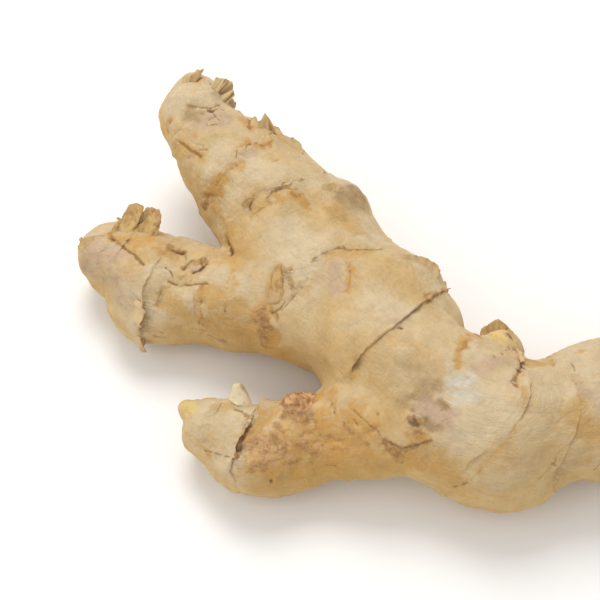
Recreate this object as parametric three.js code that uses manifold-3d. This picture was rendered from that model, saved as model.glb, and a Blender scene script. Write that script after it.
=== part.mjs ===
// A hand of fresh ginger root, lying flat: thick ringed fingers that grew from each other as one body.
// Millimetres, +Z up. The root rests on small flats at z = 0, and its box is centred on the origin to
// within a millimetre.
import * as THREE from "three";
import { mergeVertices } from "three/addons/utils/BufferGeometryUtils.js";
import Module from "manifold-3d";

const wasm = await Module();
wasm.setup();

// How the skin is shaped everywhere
const sectionStep = 3.5; // the most that two cross sections are apart
const leastStep = 0.55; // the least
const ringReach = 9; // how far along the axis a leaning ring bends the skin's pattern
const lipRise = 4.5; // length of the slope that leads up to a ring's lip
const lipDrop = 0.7; // length of the step down from the lip
const lipTrough = 3.5; // length of the groove behind the step
const troughShare = 0.45; // depth of the groove, as a share of the lip's height

// Each axis is a list of [x, y, z, half width, half height], from one end to the other.
// A ring is a growth ring: how far along the axis it lies at the top of the skin, on the right and on the
// left of the way that the axis runs, and below. Its lip's height is below 0 if it faces the axis's start.
// A mound is a swelling or a dent: its place along the axis, its angle round it in degrees (0 on top and
// 90 on the left), its height, and its reach along the axis and round it.
const stem = {
  axis: [
    [-47.3, 55.7, 29, 6.4, 5.4],
    [-49.9, 50.1, 28, 9.4, 8.2],
    [-47.1, 40.5, 26, 10.4, 9.6],
    [-37.2, 28.3, 22.5, 14, 12.4],
    [-26, 14.9, 19.5, 16.4, 14.2],
    [-13.9, -0.9, 17.5, 18.4, 15.6],
    [-3.3, -14.3, 16.8, 19.6, 16.8],
    [7.5, -26.7, 16.8, 19.2, 16.8],
    [20.7, -36.3, 16.6, 17.8, 16.4],
    [35.1, -37.3, 15.4, 17, 15.2],
    [49.1, -34.3, 15.2, 17.4, 15.2],
    [62.3, -30.1, 13.2, 15.4, 13.2],
    [74, -26.8, 11.4, 10.8, 9.4],
    [79.8, -25.1, 10.4, 7, 6],
  ],
  rings: [
    { top: 8, right: 9, left: 10, under: 10, lip: -0.5 },
    { top: 15, right: 17, left: 16, under: 17, lip: -0.7 },
    { top: 29, right: 31, left: 32, under: 32, lip: -0.9 },
    { top: 44, right: 40, left: 47, under: 44, lip: -1 },
    { top: 67, right: 62, left: 67, under: 66, lip: -0.9 },
    { top: 94, right: 94, left: 89, under: 92, lip: 1.3 },
    { top: 127, right: 119, left: 124, under: 121, lip: 1.1 },
    { top: 140, right: 134, left: 137, under: 136, lip: 0.7 },
    { top: 152, right: 146, left: 148, under: 148, lip: 0.8 },
    { top: 164, right: 161, left: 163, under: 162, lip: 0.8 },
    { top: 174, right: 173, left: 175, under: 174, lip: 0.6 },
  ],
  mounds: [
    { place: 53.5, angle: 72, rise: 4.6, along: 5.5, round: 28 },
    { place: 125, angle: -104, rise: 5.2, along: 8.5, round: 48 },
    { place: 137.5, angle: -115, rise: -2.4, along: 5.5, round: 40 },
    { place: 102, angle: 78, rise: -3.6, along: 6.5, round: 46 },
    { place: 85, angle: 66, rise: 1.8, along: 5, round: 24 },
    { place: 104, angle: -30, rise: -1, along: 7, round: 20 },
    { place: 111, angle: 4, rise: 1.2, along: 8, round: 24 },
    { place: 3, angle: -60, rise: -1.4, along: 3, round: 40 },
    { place: 9, angle: -110, rise: 1.2, along: 4, round: 40 },
    { place: 39, angle: 84, rise: 2.4, along: 10, round: 36 },
  ],
  startCap: 2.5,
  endCap: 6,
  around: 38,
  blend: 8,
  lumps: 0.035,
  seed: 1,
};

const leftFinger = {
  axis: [
    [-15.5, -6.9, 15.6, 11, 9.6],
    [-32, -3.3, 15, 13.4, 11.6],
    [-47.4, 0.1, 12.8, 12.4, 10.8],
    [-58.9, 2.9, 11.6, 14, 11.9],
    [-67.5, 9.2, 12, 11.2, 10.6],
    [-74.5, 12.8, 12.5, 7.8, 7.8],
    [-79.5, 14.4, 12.5, 5.2, 5],
  ],
  rings: [
    { top: 32, right: 32, left: 31, under: 32, lip: -0.5 },
    { top: 44, right: 42, left: 44, under: 46, lip: -0.9 },
    { top: 56, right: 58, left: 55, under: 56, lip: -0.7 },
  ],
  mounds: [
    { place: 31, angle: -40, rise: 1, along: 5, round: 24 },
    { place: 48, angle: 20, rise: 0.9, along: 6, round: 40 },
    { place: 63, angle: -50, rise: 1.4, along: 4, round: 40 },
    { place: 53, angle: 117, rise: -2.4, along: 5, round: 44 },
  ],
  startCap: 6,
  endCap: 3.5,
  around: 30,
  blend: 8,
  lumps: 0.05,
  seed: 2,
};

const lowerFinger = {
  axis: [
    [10.5, -33.9, 13, 9, 8],
    [-5.5, -38.7, 13.2, 12.2, 10.8],
    [-18.7, -39.8, 11.2, 11.2, 9.8],
    [-28.3, -41, 10, 11.4, 10],
    [-35.5, -41.1, 10, 11.2, 9.9],
    [-41.7, -38.1, 10.4, 8.8, 8],
    [-46.9, -35.9, 10.6, 7.6, 6.8],
    [-51.1, -34.3, 10.6, 6.4, 5.6],
  ],
  rings: [
    { top: 33, right: 32, left: 33, under: 33, lip: -0.4 },
    { top: 49, right: 50, left: 47, under: 49, lip: -0.9 },
    { top: 57, right: 57, left: 58, under: 57, lip: 0.5 },
  ],
  mounds: [
    { place: 57, angle: -40, rise: 1.2, along: 4, round: 34 },
    { place: 43, angle: 60, rise: 0.8, along: 4, round: 40 },
    { place: 31, angle: 115, rise: -2.9, along: 8, round: 44 },
  ],
  startCap: 6,
  endCap: 2.5,
  around: 26,
  blend: 7,
  lumps: 0.05,
  seed: 3,
};

// Small side shoots: a bud in a frill of scale, a pointed pale bud, the yellow bud at the lower finger's end
// and the scar of a broken root
const frilledBud = {
  axis: [
    [24, -24.5, 18, 6, 6],
    [25.2, -21.2, 23, 5.2, 5.2],
    [25.6, -20, 27, 2.4, 2.4],
  ],
  rings: [],
  mounds: [],
  startCap: 2,
  endCap: 1.4,
  around: 18,
  blend: 2.5,
  lumps: 0.03,
  seed: 5,
};

const paleBud = {
  axis: [
    [-37.7, -34.9, 12, 3.4, 3.4],
    [-38.1, -31.3, 16, 2.6, 2.6],
    [-38.5, -28.5, 19.6, 1, 1],
  ],
  rings: [],
  mounds: [],
  startCap: 1,
  endCap: 0.8,
  around: 14,
  blend: 1.6,
  lumps: 0.03,
  seed: 6,
};

const endBud = {
  axis: [
    [-47.4, -34.6, 12.2, 3.6, 3.6],
    [-50.2, -33.2, 14.6, 3, 2.8],
    [-52.2, -32.2, 16.2, 1.4, 1.4],
  ],
  rings: [],
  mounds: [],
  startCap: 1,
  endCap: 0.8,
  around: 14,
  blend: 2,
  lumps: 0.05,
  seed: 8,
};

const rootScar = {
  axis: [
    [-23.5, -36.9, 15, 4, 3.6],
    [-23.7, -33.5, 18.6, 4, 3.2],
    [-23.8, -32.1, 20, 3.2, 2.6],
  ],
  rings: [],
  mounds: [],
  startCap: 1,
  endCap: 0.8,
  around: 16,
  blend: 1.6,
  lumps: 0.12,
  seed: 7,
};

const limbs = [stem, leftFinger, lowerFinger, frilledBud, paleBud, endBud, rootScar];

// Dry scales that follow the skin: where each is rooted, how far round it reaches in degrees, how long
// it is, how steeply it rises, and whether it points to the axis's end (1) or its start (-1).
const scales = [
  { on: leftFinger, place: 60, angle: -60, spread: 60, length: 2.6, rise: 35, toward: 1 },
  { on: stem, place: 91, angle: 84, spread: 26, length: 3.4, rise: 28, toward: -1 },
  { on: stem, place: 64, angle: -52, spread: 22, length: 3, rise: 22, toward: -1 },
  { on: frilledBud, place: 4, angle: 62, spread: 76, length: 4.6, rise: 16, toward: 1 },
  { on: frilledBud, place: 4, angle: -58, spread: 76, length: 4.6, rise: 16, toward: 1 },
  { on: frilledBud, place: 4, angle: 182, spread: 76, length: 3.8, rise: 18, toward: 1 },
  { on: lowerFinger, place: 59, angle: -24, spread: 56, length: 2.6, rise: 24, toward: 1 },
];

// Torn flaps that stand free: the line they are rooted on, from one end to the other, and where their
// free edge is above each end, with how far they curl and how deep their edge is torn.
const flaps = [
  {
    foot: [[-71.1, 16.7, 16.4], [-66.1, 15, 17.4]],
    edge: [[-67.5, 21.7, 21.4], [-62.7, 20.7, 21.8]],
    curl: 1.6,
    tear: 0.1,
  },
  {
    foot: [[-66.1, 15.1, 17.6], [-60.1, 13.1, 18]],
    edge: [[-64.1, 17.7, 20.6], [-58.9, 19.9, 22.4]],
    curl: -1.8,
    tear: 0.15,
  },
  {
    foot: [[-36.4, 39.7, 31.6], [-30.7, 34.6, 32]],
    edge: [[-35.2, 41.5, 33.4], [-30.2, 37.4, 34.3]],
    curl: 0.3,
    tear: 0.6,
  },
  {
    foot: [[-31.1, 34.3, 32], [-22.9, 27.5, 30.6]],
    edge: [[-30, 36.9, 34.2], [-22.8, 30.6, 33]],
    curl: 0.3,
    tear: 0.4,
  },
  {
    foot: [[-52.3, 53.7, 30.6], [-48.3, 55.9, 30.6]],
    edge: [[-53.5, 54.5, 32], [-49.7, 57.7, 32.4]],
    curl: 0.5,
    tear: 0.3,
  },
  {
    foot: [[-45.4, 50.1, 32.8], [-40.8, 47.4, 29.6]],
    edge: [[-43.9, 52.8, 34.8], [-40, 50.8, 32]],
    curl: 0.3,
    tear: 0.25,
  },
];
const bladeThickness = 0.8;
const bladeRoot = 1.6; // how deep a blade's root is sunk in the skin
const bladeColumns = 7;
const bladeRows = 3;

// A smooth curve through the axis's points, and another through their half sizes, read at the same place.
function grow(limb) {
  const points = limb.axis.map(([x, y, z]) => new THREE.Vector3(x, y, z));
  const sizes = limb.axis.map(([, , , width, height]) => new THREE.Vector3(width, height, 0));
  const spine = new THREE.CatmullRomCurve3(points, false, "catmullrom", 0.5);
  const girth = new THREE.CatmullRomCurve3(sizes, false, "catmullrom", 0.5);
  const stepsPerSpan = 16;
  const count = (points.length - 1) * stepsPerSpan;
  limb.samples = [];
  let along = 0;
  for (let i = 0; i <= count; i++) {
    const centre = spine.getPoint(i / count);
    if (i) along += centre.distanceTo(limb.samples[i - 1].centre);
    const tangent = spine.getTangent(i / count);
    const side = new THREE.Vector3(0, 0, 1).cross(tangent).normalize();
    const lift = tangent.clone().cross(side);
    const size = girth.getPoint(i / count);
    limb.samples.push({ along, centre, side, lift, width: size.x, height: size.y });
  }
  limb.length = along;
}

// The axis at a distance along it, between the two nearest samples.
function axisAt(limb, along) {
  const { samples } = limb;
  let i = 1;
  while (i < samples.length - 1 && samples[i].along < along) i++;
  const [a, b] = [samples[i - 1], samples[i]];
  const share = THREE.MathUtils.clamp((along - a.along) / (b.along - a.along), 0, 1);
  const mix = (key) => a[key].clone().lerp(b[key], share);
  return {
    centre: mix("centre"),
    side: mix("side").normalize(),
    lift: mix("lift").normalize(),
    width: THREE.MathUtils.lerp(a.width, b.width, share),
    height: THREE.MathUtils.lerp(a.height, b.height, share),
  };
}

// How much of its full size a limb has at a place, so that both its ends are rounded.
function capShare(limb, along) {
  const rounding = (gap, cap) => Math.sqrt(1 - (1 - THREE.MathUtils.clamp(gap / cap, 0, 1)) ** 2);
  return rounding(along, limb.startCap) * rounding(limb.length - along, limb.endCap);
}

function ringMiddle({ top, right, left, under }) {
  return (top + right + left + under) / 4;
}

// How far a ring lies from its middle place at an angle round the skin.
function ringShift(ring, angle) {
  const { top, right, left, under } = ring;
  const [upDown, leftRight] = [(top - under) / 2, (left - right) / 2];
  const fourfold = (top + under - left - right) / 4;
  const waver = 0.5 * Math.sin(3 * angle + top) + 0.35 * Math.sin(5 * angle + 2 * left);
  return upDown * Math.cos(angle) + leftRight * Math.sin(angle) + fourfold * Math.cos(2 * angle) + waver;
}

// How far a place of the skin's own pattern, where every ring is straight, lies from its true place.
function patternShift(limb, place, angle) {
  let [sum, total] = [0, 0];
  for (const ring of limb.rings) {
    const near = Math.exp(-(((place - ringMiddle(ring)) / ringReach) ** 2));
    sum += near * ringShift(ring, angle);
    total += near;
  }
  return sum / Math.max(1, total);
}

// The skin's rise at its rings: each ring is a slope up to a lip, a short step down and a shallow groove.
function ringRelief(limb, place) {
  let rise = 0;
  for (const ring of limb.rings) {
    const behind = (place - ringMiddle(ring)) * Math.sign(ring.lip);
    const lip = Math.abs(ring.lip);
    if (behind > -lipRise && behind <= 0) rise += lip * (1 + behind / lipRise) ** 2;
    else if (behind > 0 && behind < lipDrop) rise += lip * (1 - (1 + troughShare) * (behind / lipDrop));
    else if (behind >= lipDrop && behind < lipDrop + lipTrough)
      rise -= lip * troughShare * (1 - (behind - lipDrop) / lipTrough) ** 2;
  }
  return rise;
}

function moundRelief(limb, along, angle) {
  let rise = 0;
  for (const mound of limb.mounds) {
    const turn = angle - THREE.MathUtils.degToRad(mound.angle);
    const round = Math.atan2(Math.sin(turn), Math.cos(turn)) / THREE.MathUtils.degToRad(mound.round);
    rise += mound.rise * Math.exp(-(((along - mound.place) / mound.along) ** 2) - round ** 2);
  }
  return rise;
}

// Slow, uneven swellings, as a share of the limb's size.
function swelling({ lumps, seed }, along, angle) {
  return (
    1 +
    lumps * Math.sin(2 * angle + along / 7 + 1.7 * seed) +
    lumps * 0.8 * Math.sin(3 * angle - along / 5 + 2.9 * seed) +
    lumps * 0.5 * Math.cos(angle + along / 3.1 + 4.1 * seed)
  );
}

// A point of a limb's skin, and the way out there.
function skinPoint(limb, place, angle) {
  const along = THREE.MathUtils.clamp(place + patternShift(limb, place, angle), 0, limb.length);
  const { centre, side, lift, width, height } = axisAt(limb, along);
  const [across, up] = [width * Math.sin(angle), height * Math.cos(angle)];
  const outward = side.multiplyScalar(across).addScaledVector(lift, up);
  const radius = outward.length() * swelling(limb, along, angle);
  outward.normalize();
  const reach = capShare(limb, along) * (radius + ringRelief(limb, place) + moundRelief(limb, along, angle));
  return { point: centre.addScaledVector(outward, reach), outward };
}

// About how far a point lies outside a limb's skin, or inside it if negative, and the way out.
function distanceTo(limb, point) {
  let nearest = limb.samples[0];
  let least = Infinity;
  for (const sample of limb.samples) {
    const gap = sample.centre.distanceToSquared(point);
    if (gap < least) [nearest, least] = [sample, gap];
  }
  const { along, side, lift, width, height } = nearest;
  const offset = point.clone().sub(nearest.centre);
  const angle = Math.atan2(offset.dot(side) / width, offset.dot(lift) / height);
  const radius = Math.hypot(width * Math.sin(angle), height * Math.cos(angle));
  const gap = offset.length() - (radius + moundRelief(limb, along, angle)) * capShare(limb, along);
  return { gap, away: offset.normalize(), blend: limb.blend };
}

// The cross sections' places: close together at the rings and the rounded ends, further apart between them.
function sectionPlaces(limb) {
  const wanted = [];
  for (const turn of [0.25, 0.5, 0.75, 1]) {
    const share = 1 - Math.cos((turn * Math.PI) / 2);
    wanted.push(limb.startCap * share, limb.length - limb.endCap * share);
  }
  for (const ring of limb.rings)
    for (const behind of [-2.4, 0, lipDrop, lipDrop + 1.8])
      wanted.push(ringMiddle(ring) + behind * Math.sign(ring.lip));
  wanted.sort((a, b) => a - b);
  const kept = [wanted[0]];
  for (const place of wanted.slice(1)) {
    const last = kept.at(-1);
    const gap = place - last;
    if (gap < leastStep) continue;
    const parts = Math.ceil(gap / sectionStep);
    for (let i = 1; i <= parts; i++) kept.push(last + (gap * i) / parts);
  }
  return kept.filter((place) => place > 0 && place < limb.length);
}

// Two triangles between four corners, split along the shorter diagonal.
function addQuad(faces, points, a, b, c, d) {
  if (points[a].distanceTo(points[c]) < points[b].distanceTo(points[d])) faces.push(a, b, c, a, c, d);
  else faces.push(a, b, d, b, c, d);
}

// A limb's closed skin: a grid of points round each section, with a point at each end.
function limbSolid(limb) {
  const { around } = limb;
  const places = sectionPlaces(limb);
  const points = [limb.samples[0].centre];
  const turn = 2 * Math.PI;
  for (const place of places)
    for (let i = 0; i < around; i++) points.push(skinPoint(limb, place, (i / around) * turn).point);
  points.push(limb.samples.at(-1).centre);
  const faces = [];
  const at = (row, i) => 1 + row * around + (i % around);
  for (let i = 0; i < around; i++) {
    faces.push(0, at(0, i), at(0, i + 1));
    faces.push(points.length - 1, at(places.length - 1, i + 1), at(places.length - 1, i));
    for (let row = 0; row + 1 < places.length; row++)
      addQuad(faces, points, at(row, i), at(row + 1, i), at(row + 1, i + 1), at(row, i + 1));
  }
  return solidFrom(meshFrom(points, faces));
}

function meshFrom(points, faces) {
  return new THREE.BufferGeometry().setFromPoints(points).setIndex(faces);
}

function solidFrom(geometry) {
  const bare = geometry.clone();
  for (const name of Object.keys(bare.attributes)) if (name !== "position") bare.deleteAttribute(name);
  const merged = mergeVertices(bare, 1e-4);
  return new wasm.Manifold(
    new wasm.Mesh({
      numProp: 3,
      vertProperties: new Float32Array(merged.attributes.position.array),
      triVerts: new Uint32Array(merged.index.array),
    }),
  );
}

function geometryFrom(solid) {
  const mesh = solid.getMesh();
  return new THREE.BufferGeometry()
    .setAttribute("position", new THREE.Float32BufferAttribute(mesh.vertProperties, 3))
    .setIndex(new THREE.Uint32BufferAttribute(mesh.triVerts, 1));
}

// The joined skin with soft valleys where two limbs meet: a point moves out the more, the nearer both are.
function filleted(solid) {
  const geometry = geometryFrom(solid);
  const { position } = geometry.attributes;
  const point = new THREE.Vector3();
  for (let i = 0; i < position.count; i++) {
    point.fromBufferAttribute(position, i);
    const [first, second] = limbs.map((limb) => distanceTo(limb, point)).sort((a, b) => a.gap - b.gap);
    const reach = Math.min(first.blend, second.blend);
    const near = Math.max(0, 1 - Math.abs(second.gap - first.gap) / reach);
    const lean = 0.5 * near;
    const away = first.away.clone().multiplyScalar(1 - lean).addScaledVector(second.away, lean);
    point.addScaledVector(away, (reach * near ** 2) / 4 / Math.max(0.5, away.lengthSq()));
    position.setXYZ(i, point.x, point.y, point.z);
  }
  return solidFrom(geometry);
}

// A repeatable draw between 0 and 1.
function drawFrom(seed) {
  let state = seed;
  return () => {
    state = (Math.imul(state, 1664525) + 1013904223) >>> 0;
    return state / 2 ** 32;
  };
}

// The columns of a scale that follows the skin, each from its foot to its free edge.
function scaleColumns({ on, place, angle, spread, length, rise, toward }, draw) {
  const columns = [];
  for (let i = 0; i <= bladeColumns; i++) {
    const share = i / bladeColumns;
    const turn = THREE.MathUtils.degToRad(angle + (share - 0.5) * spread);
    const { point: foot, outward } = skinPoint(on, place, turn);
    const ahead = skinPoint(on, place + toward * 2, turn).point.sub(foot).normalize();
    const tilt = THREE.MathUtils.degToRad(rise);
    const reach = length * Math.sin(Math.PI * (0.12 + 0.76 * share)) * (0.7 + 0.3 * draw());
    const way = ahead.multiplyScalar(Math.cos(tilt)).addScaledVector(outward, Math.sin(tilt));
    const edge = foot.clone().addScaledVector(way, reach);
    columns.push({ foot, edge, bow: outward.multiplyScalar(0.12 * length) });
  }
  return columns;
}

// The columns of a free flap.
function flapColumns({ foot, edge, curl, tear }, draw) {
  const [footStart, footEnd] = foot.map((place) => new THREE.Vector3(...place));
  const [edgeStart, edgeEnd] = edge.map((place) => new THREE.Vector3(...place));
  const face = footEnd.clone().sub(footStart).cross(edgeStart.clone().sub(footStart)).normalize();
  const columns = [];
  for (let i = 0; i <= bladeColumns; i++) {
    const share = i / bladeColumns;
    const low = footStart.clone().lerp(footEnd, share);
    const high = edgeStart.clone().lerp(edgeEnd, share).lerp(low, tear * draw());
    const bend = 4 * share * (1 - share) * curl;
    const bow = face.clone().multiplyScalar(0.4 * bend);
    columns.push({ foot: low, edge: high.addScaledVector(face, bend), bow });
  }
  return columns;
}

// A thin blade over its columns, with its root sunk in the skin.
function blade(columns) {
  const middle = columns.map(({ foot, edge, bow }) => {
    const start = foot.clone().sub(edge).setLength(bladeRoot).add(foot);
    const line = [];
    for (let row = 0; row <= bladeRows; row++) {
      const share = row / bladeRows;
      line.push(start.clone().lerp(edge, share).addScaledVector(bow, 4 * share * (1 - share)));
    }
    return line;
  });
  const points = [];
  for (const side of [-0.5, 0.5])
    for (let column = 0; column <= bladeColumns; column++)
      for (let row = 0; row <= bladeRows; row++) {
        const [left, right] = [Math.max(column - 1, 0), Math.min(column + 1, bladeColumns)];
        const [low, high] = [Math.max(row - 1, 0), Math.min(row + 1, bladeRows)];
        const across = middle[right][row].clone().sub(middle[left][row]);
        const up = middle[column][high].clone().sub(middle[column][low]);
        const face = across.cross(up).normalize();
        const thickness = bladeThickness * (1 - (0.25 * row) / bladeRows);
        points.push(middle[column][row].clone().addScaledVector(face, side * thickness));
      }
  const at = (side, column, row) => (side * (bladeColumns + 1) + column) * (bladeRows + 1) + row;
  const faces = [];
  const quad = (a, b, c, d) => addQuad(faces, points, a, b, c, d);
  for (let column = 0; column < bladeColumns; column++) {
    const next = column + 1;
    for (let row = 0; row < bladeRows; row++) {
      quad(at(1, column, row), at(1, next, row), at(1, next, row + 1), at(1, column, row + 1));
      quad(at(0, column, row), at(0, column, row + 1), at(0, next, row + 1), at(0, next, row));
    }
    quad(at(0, column, 0), at(0, next, 0), at(1, next, 0), at(1, column, 0));
    quad(at(0, column, bladeRows), at(1, column, bladeRows), at(1, next, bladeRows), at(0, next, bladeRows));
  }
  for (let row = 0; row < bladeRows; row++) {
    quad(at(0, 0, row), at(1, 0, row), at(1, 0, row + 1), at(0, 0, row + 1));
    const end = bladeColumns;
    quad(at(0, end, row), at(0, end, row + 1), at(1, end, row + 1), at(1, end, row));
  }
  return solidFrom(meshFrom(points, faces));
}

// The whole root: limbs grown together and softened where they meet, with scales and flaps rooted in them
limbs.forEach(grow);
let root = filleted(limbs.map(limbSolid).reduce((joined, solid) => joined.add(solid)));
const draw = drawFrom(11);
for (const scale of scales) root = root.add(blade(scaleColumns(scale, draw)));
for (const flap of flaps) root = root.add(blade(flapColumns(flap, draw)));

// The surface that it lies on presses small flats into its lowest places.
const floorBlock = new THREE.BoxGeometry(400, 400, 40).translate(0, 0, -20);
root = root.subtract(solidFrom(floorBlock));

const geometry = geometryFrom(root);
geometry.computeVertexNormals();
const skin = new THREE.MeshStandardMaterial({ color: 0xcdb088, roughness: 0.7, metalness: 0 });
const rhizome = new THREE.Mesh(geometry, skin);
rhizome.name = "ginger_root";

const hand = new THREE.Group();
hand.add(rhizome);

export default hand;
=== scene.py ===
import math

import bmesh
import bpy
import numpy as np
from bpy.props import FloatProperty, FloatVectorProperty, IntProperty, PointerProperty
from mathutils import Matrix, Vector, noise
from mathutils.bvhtree import BVHTree


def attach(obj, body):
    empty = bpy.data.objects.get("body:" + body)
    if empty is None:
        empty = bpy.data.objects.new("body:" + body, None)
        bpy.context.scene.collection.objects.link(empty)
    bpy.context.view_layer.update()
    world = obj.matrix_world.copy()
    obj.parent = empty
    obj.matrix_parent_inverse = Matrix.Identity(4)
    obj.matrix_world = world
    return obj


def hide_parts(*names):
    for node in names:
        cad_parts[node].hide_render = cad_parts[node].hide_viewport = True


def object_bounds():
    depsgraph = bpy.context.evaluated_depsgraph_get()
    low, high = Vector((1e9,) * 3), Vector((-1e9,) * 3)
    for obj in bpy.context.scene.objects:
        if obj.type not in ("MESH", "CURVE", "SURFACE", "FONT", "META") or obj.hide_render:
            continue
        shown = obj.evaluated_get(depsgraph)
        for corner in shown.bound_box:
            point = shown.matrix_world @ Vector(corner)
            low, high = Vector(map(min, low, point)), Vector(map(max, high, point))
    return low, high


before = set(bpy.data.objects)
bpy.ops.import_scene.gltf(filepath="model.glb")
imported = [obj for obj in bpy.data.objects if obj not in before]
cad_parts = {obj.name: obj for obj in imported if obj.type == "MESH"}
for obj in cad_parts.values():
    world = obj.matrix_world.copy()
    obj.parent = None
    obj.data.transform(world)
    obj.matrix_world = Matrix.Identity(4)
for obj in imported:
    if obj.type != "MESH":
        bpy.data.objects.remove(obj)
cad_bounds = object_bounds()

bl_info = {
    "name": "Ginger Root",
    "version": (1, 0, 0),
    "blender": (4, 5, 0),
    "location": "View3D > Sidebar > Ginger",
    "description": "Grows a hand of fresh ginger root, ringed and in papery skin, with dry scales and buds",
    "category": "Add Mesh",
}

# The fingers and shoots, in millimetres as in the solid model. An axis is a list of
# [x, y, z, half width, half height]. A ring is [top, right, left, under, lip]: how far along the axis it lies
# on each side, and the height of its lip, which is below 0 if it faces the axis's start.
# A mound is [place, angle, rise, reach along, reach round]; angles are in degrees, 0 on top, 90 on the left.
STEM = {
    "axis": [
        [-47.3, 55.7, 29, 6.4, 5.4], [-49.9, 50.1, 28, 9.4, 8.2], [-47.1, 40.5, 26, 10.4, 9.6],
        [-37.2, 28.3, 22.5, 14, 12.4], [-26, 14.9, 19.5, 16.4, 14.2], [-13.9, -0.9, 17.5, 18.4, 15.6],
        [-3.3, -14.3, 16.8, 19.6, 16.8], [7.5, -26.7, 16.8, 19.2, 16.8], [20.7, -36.3, 16.6, 17.8, 16.4],
        [35.1, -37.3, 15.4, 17, 15.2], [49.1, -34.3, 15.2, 17.4, 15.2], [62.3, -30.1, 13.2, 15.4, 13.2],
        [74, -26.8, 11.4, 10.8, 9.4], [79.8, -25.1, 10.4, 7, 6],
    ],
    "rings": [
        [8, 9, 10, 10, -0.5], [15, 17, 16, 17, -0.7], [29, 31, 32, 32, -0.9], [44, 40, 47, 44, -1],
        [67, 62, 67, 66, -0.9], [94, 94, 89, 92, 1.3], [127, 119, 124, 121, 1.1], [140, 134, 137, 136, 0.7],
        [152, 146, 148, 148, 0.8], [164, 161, 163, 162, 0.8], [174, 173, 175, 174, 0.6],
    ],
    "mounds": [
        [53.5, 72, 4.6, 5.5, 28], [125, -104, 5.2, 8.5, 48], [137.5, -115, -2.4, 5.5, 40],
        [102, 78, -3.6, 6.5, 46], [85, 66, 1.8, 5, 24], [104, -30, -1, 7, 20], [111, 4, 1.2, 8, 24],
        [3, -60, -1.4, 3, 40], [9, -110, 1.2, 4, 40], [39, 84, 2.4, 10, 36],
    ],
    "caps": (2.5, 6), "blend": 8, "lumps": 0.035, "seed": 1,
}
LEFT_FINGER = {
    "axis": [
        [-15.5, -6.9, 15.6, 11, 9.6], [-32, -3.3, 15, 13.4, 11.6], [-47.4, 0.1, 12.8, 12.4, 10.8],
        [-58.9, 2.9, 11.6, 14, 11.9], [-67.5, 9.2, 12, 11.2, 10.6], [-74.5, 12.8, 12.5, 7.8, 7.8],
        [-79.5, 14.4, 12.5, 5.2, 5],
    ],
    "rings": [[32, 32, 31, 32, -0.5], [44, 42, 44, 46, -0.9], [56, 58, 55, 56, -0.7]],
    "mounds": [[31, -40, 1, 5, 24], [48, 20, 0.9, 6, 40], [63, -50, 1.4, 4, 40], [53, 117, -2.4, 5, 44]],
    "caps": (6, 3.5), "blend": 8, "lumps": 0.05, "seed": 2,
}
LOWER_FINGER = {
    "axis": [
        [10.5, -33.9, 13, 9, 8], [-5.5, -38.7, 13.2, 12.2, 10.8], [-18.7, -39.8, 11.2, 11.2, 9.8],
        [-28.3, -41, 10, 11.4, 10], [-35.5, -41.1, 10, 11.2, 9.9], [-41.7, -38.1, 10.4, 8.8, 8],
        [-46.9, -35.9, 10.6, 7.6, 6.8], [-51.1, -34.3, 10.6, 6.4, 5.6],
    ],
    "rings": [[33, 32, 33, 33, -0.4], [49, 50, 47, 49, -0.9], [57, 57, 58, 57, 0.5]],
    "mounds": [[57, -40, 1.2, 4, 34], [43, 60, 0.8, 4, 40], [31, 115, -2.9, 8, 44]],
    "caps": (6, 2.5), "blend": 7, "lumps": 0.05, "seed": 3,
}
FRILLED_BUD = {
    "axis": [[24, -24.5, 18, 6, 6], [25.2, -21.2, 23, 5.2, 5.2], [25.6, -20, 27, 2.4, 2.4]],
    "rings": [], "mounds": [], "caps": (2, 1.4), "blend": 2.5, "lumps": 0.03, "seed": 5,
}
PALE_BUD = {
    "axis": [[-37.7, -34.9, 12, 3.4, 3.4], [-38.1, -31.3, 16, 2.6, 2.6], [-38.5, -28.5, 19.6, 1, 1]],
    "rings": [], "mounds": [], "caps": (1, 0.8), "blend": 1.6, "lumps": 0.03, "seed": 6,
}
END_BUD = {
    "axis": [[-47.4, -34.6, 12.2, 3.6, 3.6], [-50.2, -33.2, 14.6, 3, 2.8], [-52.2, -32.2, 16.2, 1.4, 1.4]],
    "rings": [], "mounds": [], "caps": (1, 0.8), "blend": 2, "lumps": 0.05, "seed": 8,
}
ROOT_SCAR = {
    "axis": [[-23.5, -36.9, 15, 4, 3.6], [-23.7, -33.5, 18.6, 4, 3.2], [-23.8, -32.1, 20, 3.2, 2.6]],
    "rings": [], "mounds": [], "caps": (1, 0.8), "blend": 1.6, "lumps": 0.12, "seed": 7,
}
RING_REACH = 9
LIP_RISE = 4.5
LIP_TROUGH = 3.5
TROUGH_SHARE = 0.45
LIP_DROP = 0.22
# How far behind a ring's lip the skin has cross sections, in millimetres
LIP_ROWS = (-1.5, -0.9, -0.5, -0.22, 0, 0.11, 0.22, 0.45, 0.8, 1.3)
# The distance from a lip that counts as far away, and the distance up to which the lip's strength holds
NO_LIP = 8.0
LIP_REACH = 4.5

# How far from a join the skin's grain starts to show and over what distance it does, in millimetres, and
# the height below which the skin is pressed flat
JOIN_EDGE = 1.3
JOIN_FADE = 1.5
FLAT_HEIGHT = 0.05
SMALL_LIMBS = ("bud", "pale", "end", "scar")

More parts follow.
